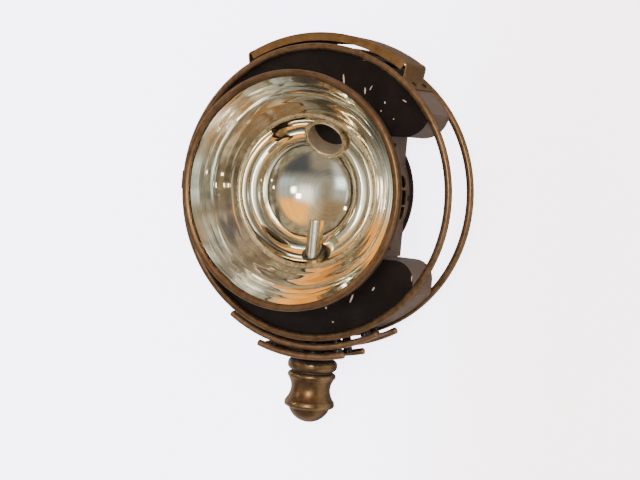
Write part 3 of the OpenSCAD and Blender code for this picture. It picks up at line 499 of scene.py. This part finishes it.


# a pale spot: one long spot of pale colour laid on the coat, a little below its surface, ragged at its edge
pale_spot, given, made = shader_group("pale_spot", {"Place": (0, 0, 0), "Turn": 0.0, "Size": (1, 1, 1)}, ["Mask"])
place = add(pale_spot, "TexCoord").outputs["Object"]
near = vector("SUBTRACT", place, given["Place"])
near = add(pale_spot, "VectorRotate", {"Vector": near, "Axis": (0, 1, 0), "Angle": given["Turn"]}).outputs[0]
away = vector("LENGTH", vector("DIVIDE", near, given["Size"]))
ragged = total(away, (maths("SUBTRACT", noise(pale_spot, 900), 0.5), 1.3))
hand_out(made, Mask=ramp(ragged, 1.05, 0.85))


def enamel_finish(name, coat, thin, wear, gloss, pale_spots=(), shine=0.5):
    """Old enamel with its own colours, wear, gloss and shine, and long pale spots given as (x, z, turn in
    degrees, half length, half width) in millimetres about the hoop centre."""
    values = {"Coat": coat, "Thin": thin, "Wear": wear, "Gloss": gloss}
    material, tree, shader, work, bump = worked_finish(name, old_enamel, 0.5, 0.00006, values,
                                                       Specular_IOR_Level=shine)
    spot_mask = 0.0
    for x, z, lean, long, wide in pale_spots:
        at, size = np.array([x, plate_front, z]) / 1000 + hoop_centre, (wide / 1000, 0.01, long / 1000)
        spot = add(tree, "Group", {"Place": tuple(at), "Turn": np.radians(lean), "Size": size}, node_tree=pale_spot)
        spot_mask = maths("MAXIMUM", spot_mask, spot.outputs[0])
    if pale_spots:
        # the pale spots take a pale colour over the coat and sink a little into its bump
        spotted_colour = blend(spot_mask, work.outputs["Colour"], (0.62, 0.54, 0.42))
        tree.links.new(spotted_colour, shader.inputs["Base Color"])
        tree.links.new(maths("SUBTRACT", work.outputs["Height"], spot_mask), bump.inputs["Height"])
    return material


def finish_nodes(material, *names):
    """Gives solids that keep their own shape a worked finish."""
    for name in names:
        for place in nodes[name].material_slots:
            place.material = material


front_enamel = enamel_finish("front_enamel", (0.0075, 0.0055, 0.0045), (0.016, 0.012, 0.01), 0.5, 0.78, pale_spots=(
    (19.2, 100.4, 10, 4.6, 0.75), (40.3, 91.5, 4, 2.9, 0.8), (45.6, 94.5, -28, 2.3, 0.45),
    (59.7, 82.9, 20, 1.1, 0.7), (56.9, 75.6, 0, 0.7, 0.6), (69.1, 69.7, 0, 0.6, 0.6), (77.7, 85.8, 65, 2.2, 0.5),
    (36.7, 117.9, 80, 1.2, 0.4), (45.1, -87.9, -19, 4.0, 0.9), (64.8, -77.0, -30, 1.9, 0.7),
    (21.7, -99.1, 40, 1.3, 0.9), (29.4, -110.4, 0, 0.8, 0.6), (99.2, -64.0, 8, 2.4, 0.4),
    (98.4, -58.0, 0, 1.2, 0.35)), shine=0.15)
rear_enamel = enamel_finish("rear_enamel", (0.0075, 0.0055, 0.0045), (0.02, 0.015, 0.012), 0.6, 0.72, shine=0.2)
brown_enamel = enamel_finish("brown_enamel", (0.06, 0.041, 0.027), (0.115, 0.082, 0.054), 0.8, 0.66)
finish_nodes(front_enamel, "upper_front_plate", "lower_front_plate")
finish_nodes(rear_enamel, "upper_rear_plate", "lower_rear_plate")
chimney_wall = box_wall("chimney_wall", upper, np.arange(-2, 3) * slot_step, (-1, 19.5), 1)
fit(chimney_wall, brown_enamel, "upper_wall")
air_wall = box_wall("air_wall", lower, np.array([-1.4, 1.4]) * slot_step, (15, 29), -1)
fit(air_wall, brown_enamel, "lower_wall")


# Chimney cap: a hood of bent sheet brass that keeps rain off the slots. Its roof has lips
# turned down front and rear; its ends bend down to feet that are riveted to the box.
cap_r, cap_half, cap_lean, cap_bend, lip_bend = 140.0, 32.3, 10, 3.5, 2.0
cap_front, cap_back, cap_lip, foot_r, foot_end = 4.0, 49.0, 7.4, 127.55, 41.3


def close_ends(grid, gather=False):
    """Adds a row at each end of a swept section, where its two faces or all points meet."""
    ends = [np.broadcast_to(g.mean(0), g.shape) if gather else (g + g[::-1]) / 2 for g in (grid[0], grid[-1])]
    return chain(ends[:1], grid, ends[1:])


def normals(line):
    """Unit vectors square to a line, to its left, from the steps between its points."""
    run = np.gradient(line, axis=0)
    run /= np.linalg.norm(run, axis=1, keepdims=True)
    return coords(-run[:, 1], run[:, 0])


# the roof's outline: its outer face, then the same line a sheet's thickness in, run backwards
front_lip = chain([[cap_r - cap_lip, cap_front]], arc(cap_r - lip_bend, cap_front + lip_bend, lip_bend, -90, 0, 7))
roof_face = chain(front_lip, coords(cap_r, np.linspace(cap_front + 8, cap_back - 8, 6)),
                  (front_lip * [1, -1] + [0, cap_front + cap_back])[::-1])
roof_section = chain(roof_face, (roof_face + normals(roof_face) * sheet)[::-1])
roof = turned(roof_section, steps=121, start=-cap_half, end=cap_half)
away_from_top = np.radians(np.linspace(cap_half - 1.2, cap_half, 4))
bent = arc(*clock(cap_r - cap_bend, np.radians(cap_half)), cap_bend, 90 - cap_half, -cap_lean, 12)[1:]
down = clock(-1, np.radians(cap_lean))
reach = -(bent[-1] @ down)
drop = reach - np.sqrt(reach ** 2 - bent[-1] @ bent[-1] + (foot_r + sheet) ** 2)
heel = bent[-1] + down * drop
foot = clock(foot_r + sheet, np.linspace(np.arctan2(*heel) + 0.016, np.radians(foot_end), 9))
t = np.linspace(0, 1, 7)[:, None]
curl = (1 - t) ** 2 * (heel - down * 2.0) + 2 * t * (1 - t) * heel + t ** 2 * foot[0]
end_face = chain(clock(cap_r, away_from_top), bent, curl, foot[1:])
strip_section = bar_section(sheet, cap_back - cap_front, 0.45, 4) + [-sheet / 2, (cap_front + cap_back) / 2]
edge_line = end_face[:, None] + normals(end_face)[:, None] * strip_section[None, :, :1]
strip = close_ends(coords(edge_line[..., 0], strip_section[:, 1], edge_line[..., 1]), gather=True)
cap_brass = brass_finish("cap_brass", (0.225, 0.126, 0.044), (0.385, 0.235, 0.095), 0.42)
hood = surface("cap_hood", part(close_ends(roof), False, worn=bend_marks(roof_section) * 0.5),
               part(strip, False, worn=0.15), part(strip * [-1, 1, 1], False, worn=0.15))
fit(hood, cap_brass, "chimney_cap")
rivet_brass = brass_finish("rivet_brass", (0.06, 0.038, 0.022), (0.15, 0.1, 0.055), 0.3)
finish_nodes(rivet_brass, "cap_rivets")


# Air baffles: two curved plates that hang below the air box, each with its front and rear
# edges rolled into a bead, and black distance pieces between them.
baffles = (("inner_guard", "inner_baffle", 135.5, 32.0), ("outer_guard", "outer_baffle", 144.25, 17.2))
bead_r, bead_front, bead_back, guard_t = 3.0, 5.0, 48.0, 1.4
baffle_brass = brass_finish("baffle_brass", (0.27, 0.16, 0.078), (0.44, 0.29, 0.165), 0.42)


def bead(radius, half, y):
    """A rolled bead: a round section carried along an arc below the hoops, that closes in at
    its ends as a quarter of an ellipse."""
    a = np.radians(half * np.cos(np.linspace(np.pi, 0, 119)))
    left = (np.radians(half) - np.abs(a)) * radius
    swell = np.sqrt(np.clip(1 - np.clip(1 - left / 1.6, 0, 1) ** 2, 0, 1))[:, None]
    b = np.linspace(0, 2 * np.pi, 24, endpoint=False)
    r = radius + bead_r * swell * np.cos(b)
    return coords(r * np.sin(a)[:, None], y + bead_r * swell * np.sin(b), -r * np.cos(a)[:, None])


for name, node, radius, half in baffles:
    flat = bar_section(guard_t, bead_back - bead_front, 0.5, 3) + [radius, (bead_front + bead_back) / 2]
    leaf = turned(flat, top=(0, 0, -1), steps=90, start=-half + 0.8, end=half - 0.8)
    beads = [part(bead(radius, half, y), False, worn=0.25) for y in (bead_front, bead_back)]
    guard = surface(name, *beads, part(close_ends(leaf, gather=True), False), crease=50)
    fit(guard, baffle_brass, node)
black_enamel = enamel_finish("black_enamel", (0.01, 0.008, 0.007), (0.03, 0.022, 0.016), 0.7, 0.68)
finish_nodes(black_enamel, "baffle_spacers")


# Drum: a tube of sheet brass between the boxes, enamelled brown, with air holes through both
# sides. A black dished cover closes its rear; hollow saddles fill the corners to the boxes.
lens_z, drum_r, drum_t, drum_front, drum_back = 1.5, 68.5, 1.2, -14.0, 57.0
lens, window_y, hole_y, hole_up, hole_r = np.array([0, 0, lens_z]), (32.5, 49.5), 43.6, 14.5, 5.6
# openings through the drum's wall, on both sides alike: how far out, how high and how far back
openings = (((40, 99), (-6, 7), window_y), ((40, 99), (-19, -7.5), window_y),
            ((-1, 19.5), (0, 99), cradle_slot), ((15, 29), (-99, 0), cradle_slot))


def open_hole(points, centre, axis, radius, back_on):
    """Opens a round hole in a grid: points inside it are pushed out to its rim and put back on
    the surface, a few times over. Returns the points and which of them were inside."""
    centre, axis = np.array(centre, float), np.array(axis, float) / np.linalg.norm(axis)

    def off_axis(p):
        rel = p - centre
        ahead = (rel @ axis)[..., None]
        out = rel - ahead * axis
        return ahead, out, np.linalg.norm(out, axis=-1, keepdims=True)

    ahead, _, far = off_axis(points)
    inside = (far < radius) & (ahead > 0)
    moved = points
    for _ in range(6):
        ahead, out, far = off_axis(moved)
        pushed = centre + ahead * axis + out / np.maximum(far, 1e-6) * radius
        moved = back_on(np.where(inside, pushed, points))
    return np.where(inside, moved, points), inside[..., 0]


def whole_cells(held):
    """Cells of a grid, closed along its rows, with all four corners inside a hole."""
    both = held & np.roll(held, -1, 0)
    return both[:, :-1] & both[:, 1:]


def on_drum(points):
    """Puts points back on the drum's round wall by moving them straight out from its axis."""
    x, y, z = np.moveaxis(points - lens, -1, 0)
    scale = drum_r / np.hypot(x, z)
    return lens + coords(x * scale, y, z * scale)


port_turn = np.degrees(np.arccos([z / drum_r for _, edges, _ in openings for z in edges if abs(z) < 20 and z]))
a = np.unique(np.round(chain(np.linspace(0, 360, 289)[:-1], port_turn, 360 - port_turn), 4))
y = np.unique(np.round(chain(np.linspace(drum_front, drum_back, 49), window_y, cradle_slot), 3))
a, mid_a = np.radians(a), np.radians((a + np.append(a[1:], 360)) / 2)
tube = coords(drum_r * np.sin(a)[:, None], y, lens_z + drum_r * np.cos(a)[:, None])
cut = np.zeros((len(a), len(y) - 1), bool)
for side in (-1, 1):
    tube, held = open_hole(tube, (0, hole_y, lens_z + hole_up), (side, 0, 0), hole_r, on_drum)
    cut |= whole_cells(held)
middle = (np.abs(drum_r * np.sin(mid_a))[:, None], drum_r * np.cos(mid_a)[:, None], (y[:-1] + y[1:]) / 2)
for opening in openings:
    cut |= coords(*((m > low) & (m < high) for m, (low, high) in zip(middle, opening))).all(-1)
drum = surface("drum", part(tube, True, False, kept=~cut), walls=drum_t, crease=50)
drum_enamel = enamel_finish("drum_enamel", (0.064, 0.043, 0.028), (0.115, 0.076, 0.047), 0.8, 0.6)
fit(drum, drum_enamel, "drum_shell")
finish_nodes(drum_enamel, "upper_saddles", "lower_saddles")

cover_r, dome, skirt = 71.5, 12.0, drum_r - drum_t - 0.05
bow = ((skirt - 4) ** 2 + dome ** 2) / (2 * dome)
d = np.linspace(0, np.arcsin((skirt - 4) / bow), 24)
bow_middle = [0, drum_back + sheet + dome - bow]
rim = [[skirt - 2.6, 58.35], [skirt - 1.2, 58.3], [cover_r - 1.6, 58.3], [cover_r - 1.1, 58.8],
       [cover_r - 0.9, 59.4], [cover_r - 0.3, 59.65], [cover_r, 59.2], [cover_r, 57.4], [cover_r - 0.3, 57.1],
       [skirt, 57.1], [skirt, drum_back - 7], [skirt - 1.2, drum_back - 7], [skirt - 1.2, 57.1]]
dish = chain(bow_middle + clock(bow, d), rim, bow_middle + clock(bow - sheet, d[::-1]))
cover = turned_piece("rear_dish", dish, lens, closed=False, crease=40)
fit(cover, black_enamel, "rear_cover")
finish_nodes(rivet_brass, "cover_screws")


# Flared reflector: spun brass, silvered and polished, set between the drum and the door, in
# a black outer casing with a sleeve that fits over the drum. Spinning left faint rings in it.
flare_focus, flare_in, flare_out, flare_start, rim_y = 41.0, 67.4, 96.6, -14.05, -43.25


def flare_y(radius):
    """Depth of the flare at a radius: a parabola about the beam."""
    return flare_start - (radius ** 2 - flare_in ** 2) / (4 * flare_focus)


def flare_r(depth):
    """Radius of the flare at a depth, by the same parabola."""
    return np.sqrt(flare_in ** 2 + (flare_start - depth) * 4 * flare_focus)


def spun(points, ridges, swell, pitch, wander):
    """Marks left by spinning: a slow swell across the radius, and narrow ridges at chosen
    radii (radius, half width, height), each a bell curve whose radius wanders and whose
    height comes and goes slowly round the beam."""
    x, _, z = np.moveaxis(points - lens, -1, 0)
    radius, turn_at = np.hypot(x, z), np.arctan2(x, z)
    drift = wander * sum(share * np.sin(lobes * turn_at + phase) for share, lobes, phase in (
        (1, 3, 0.4), (0.5, 7, 2.0), (0.3, 17, 0), (0.15, 41, 1)))
    wave = swell * np.sin(2 * np.pi * (radius + 1.5 * drift) / pitch)
    for number, (at, half, height) in enumerate(ridges):
        strength = 0.72 + 0.28 * np.sin(2 * turn_at + 1.3 * number) + 0.15 * np.sin(9 * turn_at + number)
        wave = wave + height * strength * np.exp(-((radius + drift - at) / half) ** 2)
    return points + coords(0, wave, 0)


# spun silver: concentric polishing lines about the beam, warm tarnish in soft rings and
# clouds, and small grey spots where the silver has gone
spun_silver, given, made = shader_group("spun silver", {
    "Silver": (0.9, 0.9, 0.85, 1), "Tarnish": (0.6, 0.45, 0.3, 1), "Age": 0.5, "Polish": 0.8, "Warm inside": 0.0})
tree = spun_silver
xyz = vector("SUBTRACT", add(tree, "TexCoord").outputs["Object"], (0, 0, lens_z / 1000 + hoop_centre[2]))
xyz = add(tree, "SeparateXYZ", {0: xyz}).outputs
flat = add(tree, "CombineXYZ", {0: xyz["X"], 2: xyz["Z"]}).outputs[0]
radius = vector("LENGTH", flat)


def ring_noise(across, around, detail):
    """Noise drawn out round the beam: fast with the radius, slow round it."""
    lifted = add(tree, "CombineXYZ", {1: times(radius, across)}).outputs[0]
    return noise(tree, 1.0, detail, 0.55, vector("ADD", vector("SCALE", flat, around), lifted))


bands = ramp(ring_noise(420, 6, 2), 0.4, 0.66)
clouds = ramp(noise(tree, 30, 3, 0.5), 0.38, 0.68)
spots = ramp(noise(tree, 620), 0.72, 0.8)
aged = times(total(0.0, (bands, 0.55), (clouds, 0.45)), given["Age"])
tone = blend(aged, given["Silver"], given["Tarnish"])
inwards = total(given["Warm inside"], (radius, -1.0), (ring_noise(0, 9, 2), -0.004))
tone = blend(times(ramp(inwards, -0.005, 0.001), 0.7), tone, given["Tarnish"])
hand_out(made, Colour=blend(times(spots, 0.6), tone, (0.22, 0.19, 0.15)),
         Roughness=total(0.34, (given["Polish"], -0.32), (aged, 0.06), (spots, 0.25)),
         Height=total(0.0, (ring_noise(2600, 30, 3), 0.5), (bands, 0.5)))


def silver_finish(name, silver, tarnish, age, polish, relief, warm_inside=0.0):
    """Silvered metal with its own colours, age and polish, browner within a radius."""
    values = {"Silver": silver, "Tarnish": tarnish, "Age": age, "Polish": polish, "Warm inside": warm_inside}
    return worked_finish(name, spun_silver, 0.4, relief, values, Metallic=1.0)[0]


flare_silver = silver_finish("flare_silver", (0.92, 0.89, 0.81), (0.68, 0.54, 0.38), 0.5, 0.96, 0.000003, 0.0815)
flare_ridges = ((92.0, 0.6, 0.05), (88.4, 0.7, 0.12), (83.1, 1.2, 0.48), (76.5, 1.6, 0.1), (71.5, 0.8, 0.12))
flare_t, casing_gap, casing_t = 1.4, 1.6, 1.7
r = np.linspace(flare_in, flare_out, 175)
face = spun(turned(coords(r, flare_y(r)), lens, steps=400), flare_ridges, 0.035, 9.0, 0.45)
r = np.linspace(flare_out, flare_r(flare_start - flare_t), 12)
rear = turned(coords(r, flare_y(r) + flare_t), lens, steps=400)
shine = surface("flare_shine", part(np.concatenate([face, rear], 1)), crease=50)
fit(shine, flare_silver, "flare_reflector")

casing_enamel = enamel_finish("casing_enamel", (0.012, 0.01, 0.009), (0.05, 0.034, 0.022), 0.7, 0.66)
inside = np.linspace(96.75, drum_seat + 0.2, 40)
outside = np.linspace(drum_seat + 1.2, flare_r(rim_y + 1.2 - casing_gap - casing_t), 40)
shell = chain(
    coords(outside, flare_y(outside) + casing_gap + casing_t),
    [[99.45, -42.05], [99.6, -42.2], [99.6, -43.1], [99.45, rim_y], [96.75, rim_y]],
    coords(inside, flare_y(inside) + casing_gap),
    [[drum_seat, -12.6], [drum_seat, -4.0], [drum_seat + 1.0, -4.0], [drum_seat + 1.2, -4.3]])
fit(turned_piece("lamp_casing", shell, lens, crease=40), casing_enamel, "flare_casing")


# Mirror: a deep silvered bowl behind the flame, pierced at the top for the chimney throat and
# at the bottom for the burner, and held in the drum by a thin brass ring.
mirror_in, mirror_depth, mirror_rim, mirror_t = 64.5, 50.0, -11.5, 2.5
throat_turn, throat_tilt, throat_r = np.radians(48.8), np.radians(37.0), 17.5
throat_at = np.array([0, mirror_rim + mirror_depth * np.cos(throat_turn), lens_z + mirror_in * np.sin(throat_turn)])
throat_way = np.array([0, np.cos(throat_tilt), np.sin(throat_tilt)])
bowl_middle, bowl_size = lens + [0, mirror_rim, 0], np.array([mirror_in, mirror_depth, mirror_in])
burner_back, burner_r = 13.96, 7.0


def on_bowl(points):
    """Puts points back on the bowl, half an ellipsoid, by moving them straight from its centre."""
    rel = points - bowl_middle
    return bowl_middle + rel / np.linalg.norm(rel / bowl_size, axis=-1, keepdims=True)


t = np.radians(np.linspace(0, 90, 120))
bowl = turned(coords(mirror_in * np.cos(t), mirror_rim + mirror_depth * np.sin(t)), lens, steps=400)
bowl, held_throat = open_hole(bowl, throat_at - 20 * throat_way, throat_way, throat_r + 0.3, on_bowl)
bowl, held_burner = open_hole(bowl, (0, burner_back, lens_z), (0, 0, -1), burner_r + 3.05, on_bowl)
kept = ~(whole_cells(held_throat) | whole_cells(held_burner))
bowl = spun(bowl, ((60.5, 0.8, 0.02), (49.0, 1.0, 0.02)), 0.006, 8.0, 0.3)
mirror = surface("mirror_shine", part(bowl, True, False, kept=kept), walls=-mirror_t, crease=50)
mirror_silver = silver_finish("mirror_silver", (0.93, 0.9, 0.83), (0.7, 0.58, 0.42), 0.45, 0.97, 0.000003)
fit(mirror, mirror_silver, "mirror_bowl")
gas_brass = brass_finish("gas_brass", (0.22, 0.14, 0.07), (0.4, 0.28, 0.15), 0.45)
bright_brass = brass_finish("bright_brass", (0.62, 0.47, 0.28), (0.8, 0.64, 0.42), 0.72)
hold = [[63.4, -11.6], [67.15, -11.6], [67.2, -13.9], [67.0, -14.0], [65.6, -14.1], [64.2, -13.9],
        [63.4, -13.2], [63.1, -12.4]]
fit(turned_piece("mirror_hoop", hold, lens, crease=60), bright_brass, "mirror_ring")


# Chimney throat: a short tube that leads hot air out through the top of the mirror, with a
# raised eyelet of rolled brass round its mouth.
wall = [[16.6, -5.5], [16.9, -5.75], [17.2, -5.5], [17.5, -5.2], [17.5, 10.0], [16.3, 10.0], [16.3, -5.1]]
throat_top = np.array([0, -throat_way[2], throat_way[1]])
throat_metal = silver_finish("throat_metal", (0.66, 0.5, 0.35), (0.46, 0.34, 0.24), 0.35, -0.8, 0.00004)
fit(turned_piece("throat_tube", wall, throat_at, throat_way, throat_top, steps=120), throat_metal,
    "chimney_throat")


def eyelet_grid(steps, levels):
    """The eyelet: a rounded lip at the tube's mouth, whose sides run down along the tube to
    where such a line cuts the bowl's ellipsoid."""
    a = np.linspace(0, 2 * np.pi, steps, endpoint=False)
    lip = np.radians(np.linspace(180, 0, 9))
    sides, rolled = np.linspace(0, 1, levels), throat_r + 1.25 + 1.2 * np.cos(lip)
    radius = chain(np.full(levels, throat_r + 0.05), rolled, np.full(levels, throat_r + 2.45))
    depth = chain(sides[::-1], np.zeros(9), sides)
    raised = chain(np.zeros(levels), 0.9 * np.sin(lip), np.zeros(levels))
    out = radius[:, None] * (np.cos(a)[:, None, None] * throat_top + np.sin(a)[:, None, None] * [1, 0, 0])
    q, w = (throat_at - bowl_middle + out) / (bowl_size - 0.1), throat_way / (bowl_size - 0.1)
    qa, qb, qc = w @ w, q @ w, (q * q).sum(-1) - 1
    meets = (-qb + np.sqrt(np.maximum(qb ** 2 - qa * qc, 0))) / qa
    along = -4.6 - raised + depth * (meets + 4.6)
    return throat_at + out + along[..., None] * throat_way


eyelet = surface("throat_eyelet", part(eyelet_grid(144, 6), True, False), crease=60)
fit(eyelet, bright_brass, "throat_ring")


# Burner: a polished tube that stands up through the mirror over a gas jet; a fibre grommet
# and a nut under the drum hold it, and a bent pipe brings the gas from an inlet in the box.
burner_foot, burner_top, burner_bore = lens_z - 77.7, lens_z - 25.0, 5.5
lip = arc(burner_r - 1.6, burner_top - 1.6, 1.6, 0, 90, 8)
spine = np.linspace(burner_foot + 0.3, burner_top - 2.5, 24)
outside, inside = coords(burner_r, spine), coords(burner_bore, spine)
tube_line = chain(
    outside, lip, [[burner_bore + 0.25, burner_top - 0.1], [burner_bore, burner_top - 0.5]], inside[::-1],
    [[burner_bore + 0.3, burner_foot], [burner_r - 0.3, burner_foot]])
tube = turned_piece("burner_stack", tube_line, (0, burner_back, 0), (0, 0, 1), (0, -1, 0), steps=96)
burner_metal = silver_finish("burner_metal", (0.9, 0.82, 0.7), (0.62, 0.5, 0.36), 0.6, 0.75, 0.00003)
fit(tube, burner_metal, "burner_tube")
grommet_fibre = enamel_finish("grommet_fibre", (0.018, 0.014, 0.011), (0.05, 0.04, 0.03), 0.8, 0.25)
a = np.linspace(0, 2 * np.pi, 72, endpoint=False)[:, None]
ring_r = np.array([7.15, 7.2, 7.6, 9.4, 9.9, 9.95, 9.95, 7.15])
lifted = np.array([-1.4, 0.5, 0.8, 0.8, 0.5, 0.0, -1.4, -1.4])
x, y = ring_r * np.sin(a), burner_back - ring_r * np.cos(a)
z = lens_z - mirror_in * np.sqrt(1 - (x / mirror_in) ** 2 - ((y - mirror_rim) / mirror_depth) ** 2) + lifted
grommet = surface("burner_bush", part(coords(x, y, z)))
fit(grommet, grommet_fibre, "burner_grommet")
jet_stone = enamel_finish("jet_stone", (0.72, 0.68, 0.6), (0.45, 0.38, 0.3), 0.6, 0.15)
finish_nodes(jet_stone, "burner_jet")
finish_nodes(gas_brass, "burner_nut", "gas_pipe", "gas_inlet")


# Stem and collar: a steel stem, plated to the air box from inside by a square plate and a
# nut, comes down through both baffles; on it, under the outer baffle, sits a turned collar.
stem_y, seat_z = -hoop_centre[1] * 1000, hoop_centre[2] * 1000


def stem_turned(name, profile, **more):
    """A piece turned from a profile of (radius, height above the seat) about the stem's axis."""
    return turned_piece(name, profile - [0, seat_z], (0, stem_y, 0), (0, 0, 1), (0, -1, 0), **more)


def finer(profile, step):
    """Adds points along the straights of a profile so that none is longer than step."""
    out = []
    for here, there in zip(profile, np.roll(profile, -1, 0)):
        count = max(1, int(np.ceil(np.linalg.norm(there - here) / step)))
        out.append(here + (there - here) * np.arange(count)[:, None] / count)
    return chain(*out)


collar_line = finer(chain(
    [[5.05, 0.0]], arc(17.68, 4.62, 4.62, -90, 0, 16), arc(17.68, 5.88, 4.62, 0, 87, 16),
    [[10.4, 10.5], [10.0, 10.9], [10.0, 14.7], [9.7, 15.0], [5.05, 15.0]]), 1.2)
collar = stem_turned("stem_collar", collar_line, worn=bend_marks(collar_line) * 0.35, steps=144)

# paint runs: black paint that crept down over a shoulder, in tongues of uneven length
paint_runs, given, made = shader_group("paint runs", {"Top": 0.1, "Length": 0.005, "Round": 100.0}, ["Mask"])
tree = paint_runs
xyz = add(tree, "SeparateXYZ", {0: add(tree, "TexCoord").outputs["Object"]}).outputs
round_stem = add(tree, "CombineXYZ", {0: xyz["X"], 1: xyz["Y"]}).outputs[0]
round_stem = vector("SCALE", round_stem, given["Round"])
tongue = times(ramp(noise(tree, 1.0, 2, 0.5, round_stem), 0.4, 0.66), given["Length"])
fine = maths("SUBTRACT", noise(tree, 700), 0.5)
past = total(given["Top"], (xyz["Z"], -1.0), (tongue, -1.0), (fine, 0.0012))
hand_out(made, Mask=ramp(past, 0.0004, -0.0004))

collar_brass = brass_finish("collar_brass", (0.165, 0.098, 0.046), (0.28, 0.185, 0.095), 0.5)
tree = collar_brass.node_tree
runs = add(tree, "Group", {"Top": 0.0094, "Length": 0.0042, "Round": 110.0}, node_tree=paint_runs).outputs[0]
shader = tree.nodes["Principled BSDF"]
brass_link = shader.inputs["Base Color"].links[0].from_socket
tree.links.new(blend(runs, brass_link, (0.012, 0.009, 0.007)), shader.inputs["Base Color"])
tree.links.new(maths("SUBTRACT", 1.0, runs), shader.inputs["Metallic"])
fit(collar, collar_brass, "collar")
old_steel = brass_finish("old_steel", (0.075, 0.068, 0.06), (0.2, 0.18, 0.16), 0.3)
finish_nodes(old_steel, "stem", "stem_plate", "stem_nut", "clamp_washer")


# Hinge and catch: a brass bracket on the left front plate carries the pin on which the
# door's leaf turns, and a spring catch opposite it holds the door shut.
door_brass = brass_finish("door_brass", (0.17, 0.098, 0.045), (0.36, 0.24, 0.13), 0.5)
finish_nodes(door_brass, "hinge_bracket", "hinge_pin", "door_catch", "hinge_leaf")


# Door: a brass ring, rolled to a round bead at the front, that holds the domed glass on a
# felt strip between its lip and an inner ring.
bezel_line = finer(chain(
    [[101.3, -42.05], [101.3, -47.45], [96.3, -47.45], [96.3, -48.45], [96.7, -48.85], [98.47, -49.6]],
    arc(100.3, -47.65, 2.2, -90, 0, 14), [[102.5, -46.0], [102.5, -42.25], [102.3, -42.05]]), 1.0)
bezel = turned_piece("door_ring", bezel_line, lens, worn=bend_marks(bezel_line) * 0.5, crease=40, steps=360)
fit(bezel, door_brass, "bezel", "door")
finish_nodes(bright_brass, "glass_ring")
felt = enamel_finish("felt", (0.055, 0.05, 0.045), (0.09, 0.08, 0.07), 0.8, 0.0)
finish_nodes(felt, "glass_gasket")

glass_edge, glass_in, glass_sag, glass_t, glass_rear = 100.9, 95.5, 8.0, 2.15, -44.4
r = chain(np.linspace(0, glass_in, 70), [97.0, 99.0, 100.6])
bulge = glass_sag * np.clip(1 - (r / glass_in) ** 2, 0, None)
front = coords(r, glass_rear - glass_t - bulge)
rear = coords(r, glass_rear - bulge)[::-1]
rim = [[glass_edge, glass_rear - glass_t + 0.3], [glass_edge, glass_rear - 0.3]]
pane = turned_piece("door_glass", chain(front, rim, rear), lens, closed=False, crease=50, steps=240)

# old hand-made glass: clear with a slight green tint, and a little wavy
lens_glass, tree, shader = plain_finish("lens_glass", Metallic=0.0, Roughness=0.0, IOR=1.25,
                                        Transmission_Weight=1.0, Base_Color=(0.93, 0.97, 0.945, 1))
wavy = add(tree, "Bump", {"Height": noise(tree, 22, 2), "Strength": 0.25, "Distance": 0.0004})
tree.links.new(wavy.outputs[0], shader.inputs["Normal"])
shadow = add(tree, "LightPath").outputs["Is Shadow Ray"]
clear = add(tree, "BsdfTransparent", {"Color": (0.9, 0.94, 0.91, 1)})
through = add(tree, "MixShader", {0: shadow, 1: shader.outputs[0], 2: clear.outputs[0]})
tree.links.new(through.outputs[0], tree.nodes["Material Output"].inputs["Surface"])
fit(pane, lens_glass, "front_glass", "door")


# Finial: a turned brass nut, bulging at its top, drawn in to a waist with a ring below it
# and a ball at its foot; it screws up the stem and clamps the bracket between collar and nut.
waist_r, waist_y = 17.6, -15.9
upper_z, lower_z = np.linspace(-7.6, waist_y, 12), np.linspace(-16.6, -27.8, 14)
upper_waist = coords(waist_r + 2.6 * ((upper_z - waist_y) / 8.5) ** 2, upper_z)
lower_waist = coords(waist_r + 4.6 * ((waist_y - lower_z) / 11.9) ** 2, lower_z)
ball_r, ball_low = 19.675, -46.8
finial_line = chain(
    [[5.05, -1.4]], arc(18.7, -4.4, 3.0, 90, -60, 20), upper_waist, lower_waist, arc(20.0, -30.4, 2.6, 18, -80, 20),
    [[18.6, -33.8]], arc(0, ball_low + ball_r, ball_r, -22.33, -90, 40))
worn = chain(bend_marks(finial_line, False) * 0.4, np.zeros(2))
finial_line = chain(finial_line, [[0.0, -36.4], [5.05, -36.4]])
finial = stem_turned("clamp_finial", finial_line, worn=worn, crease=38, steps=160)
finial_brass = brass_finish("finial_brass", (0.18, 0.108, 0.05), (0.36, 0.25, 0.13), 0.55)
fit(finial, finial_brass, "finial", "finial_nut")
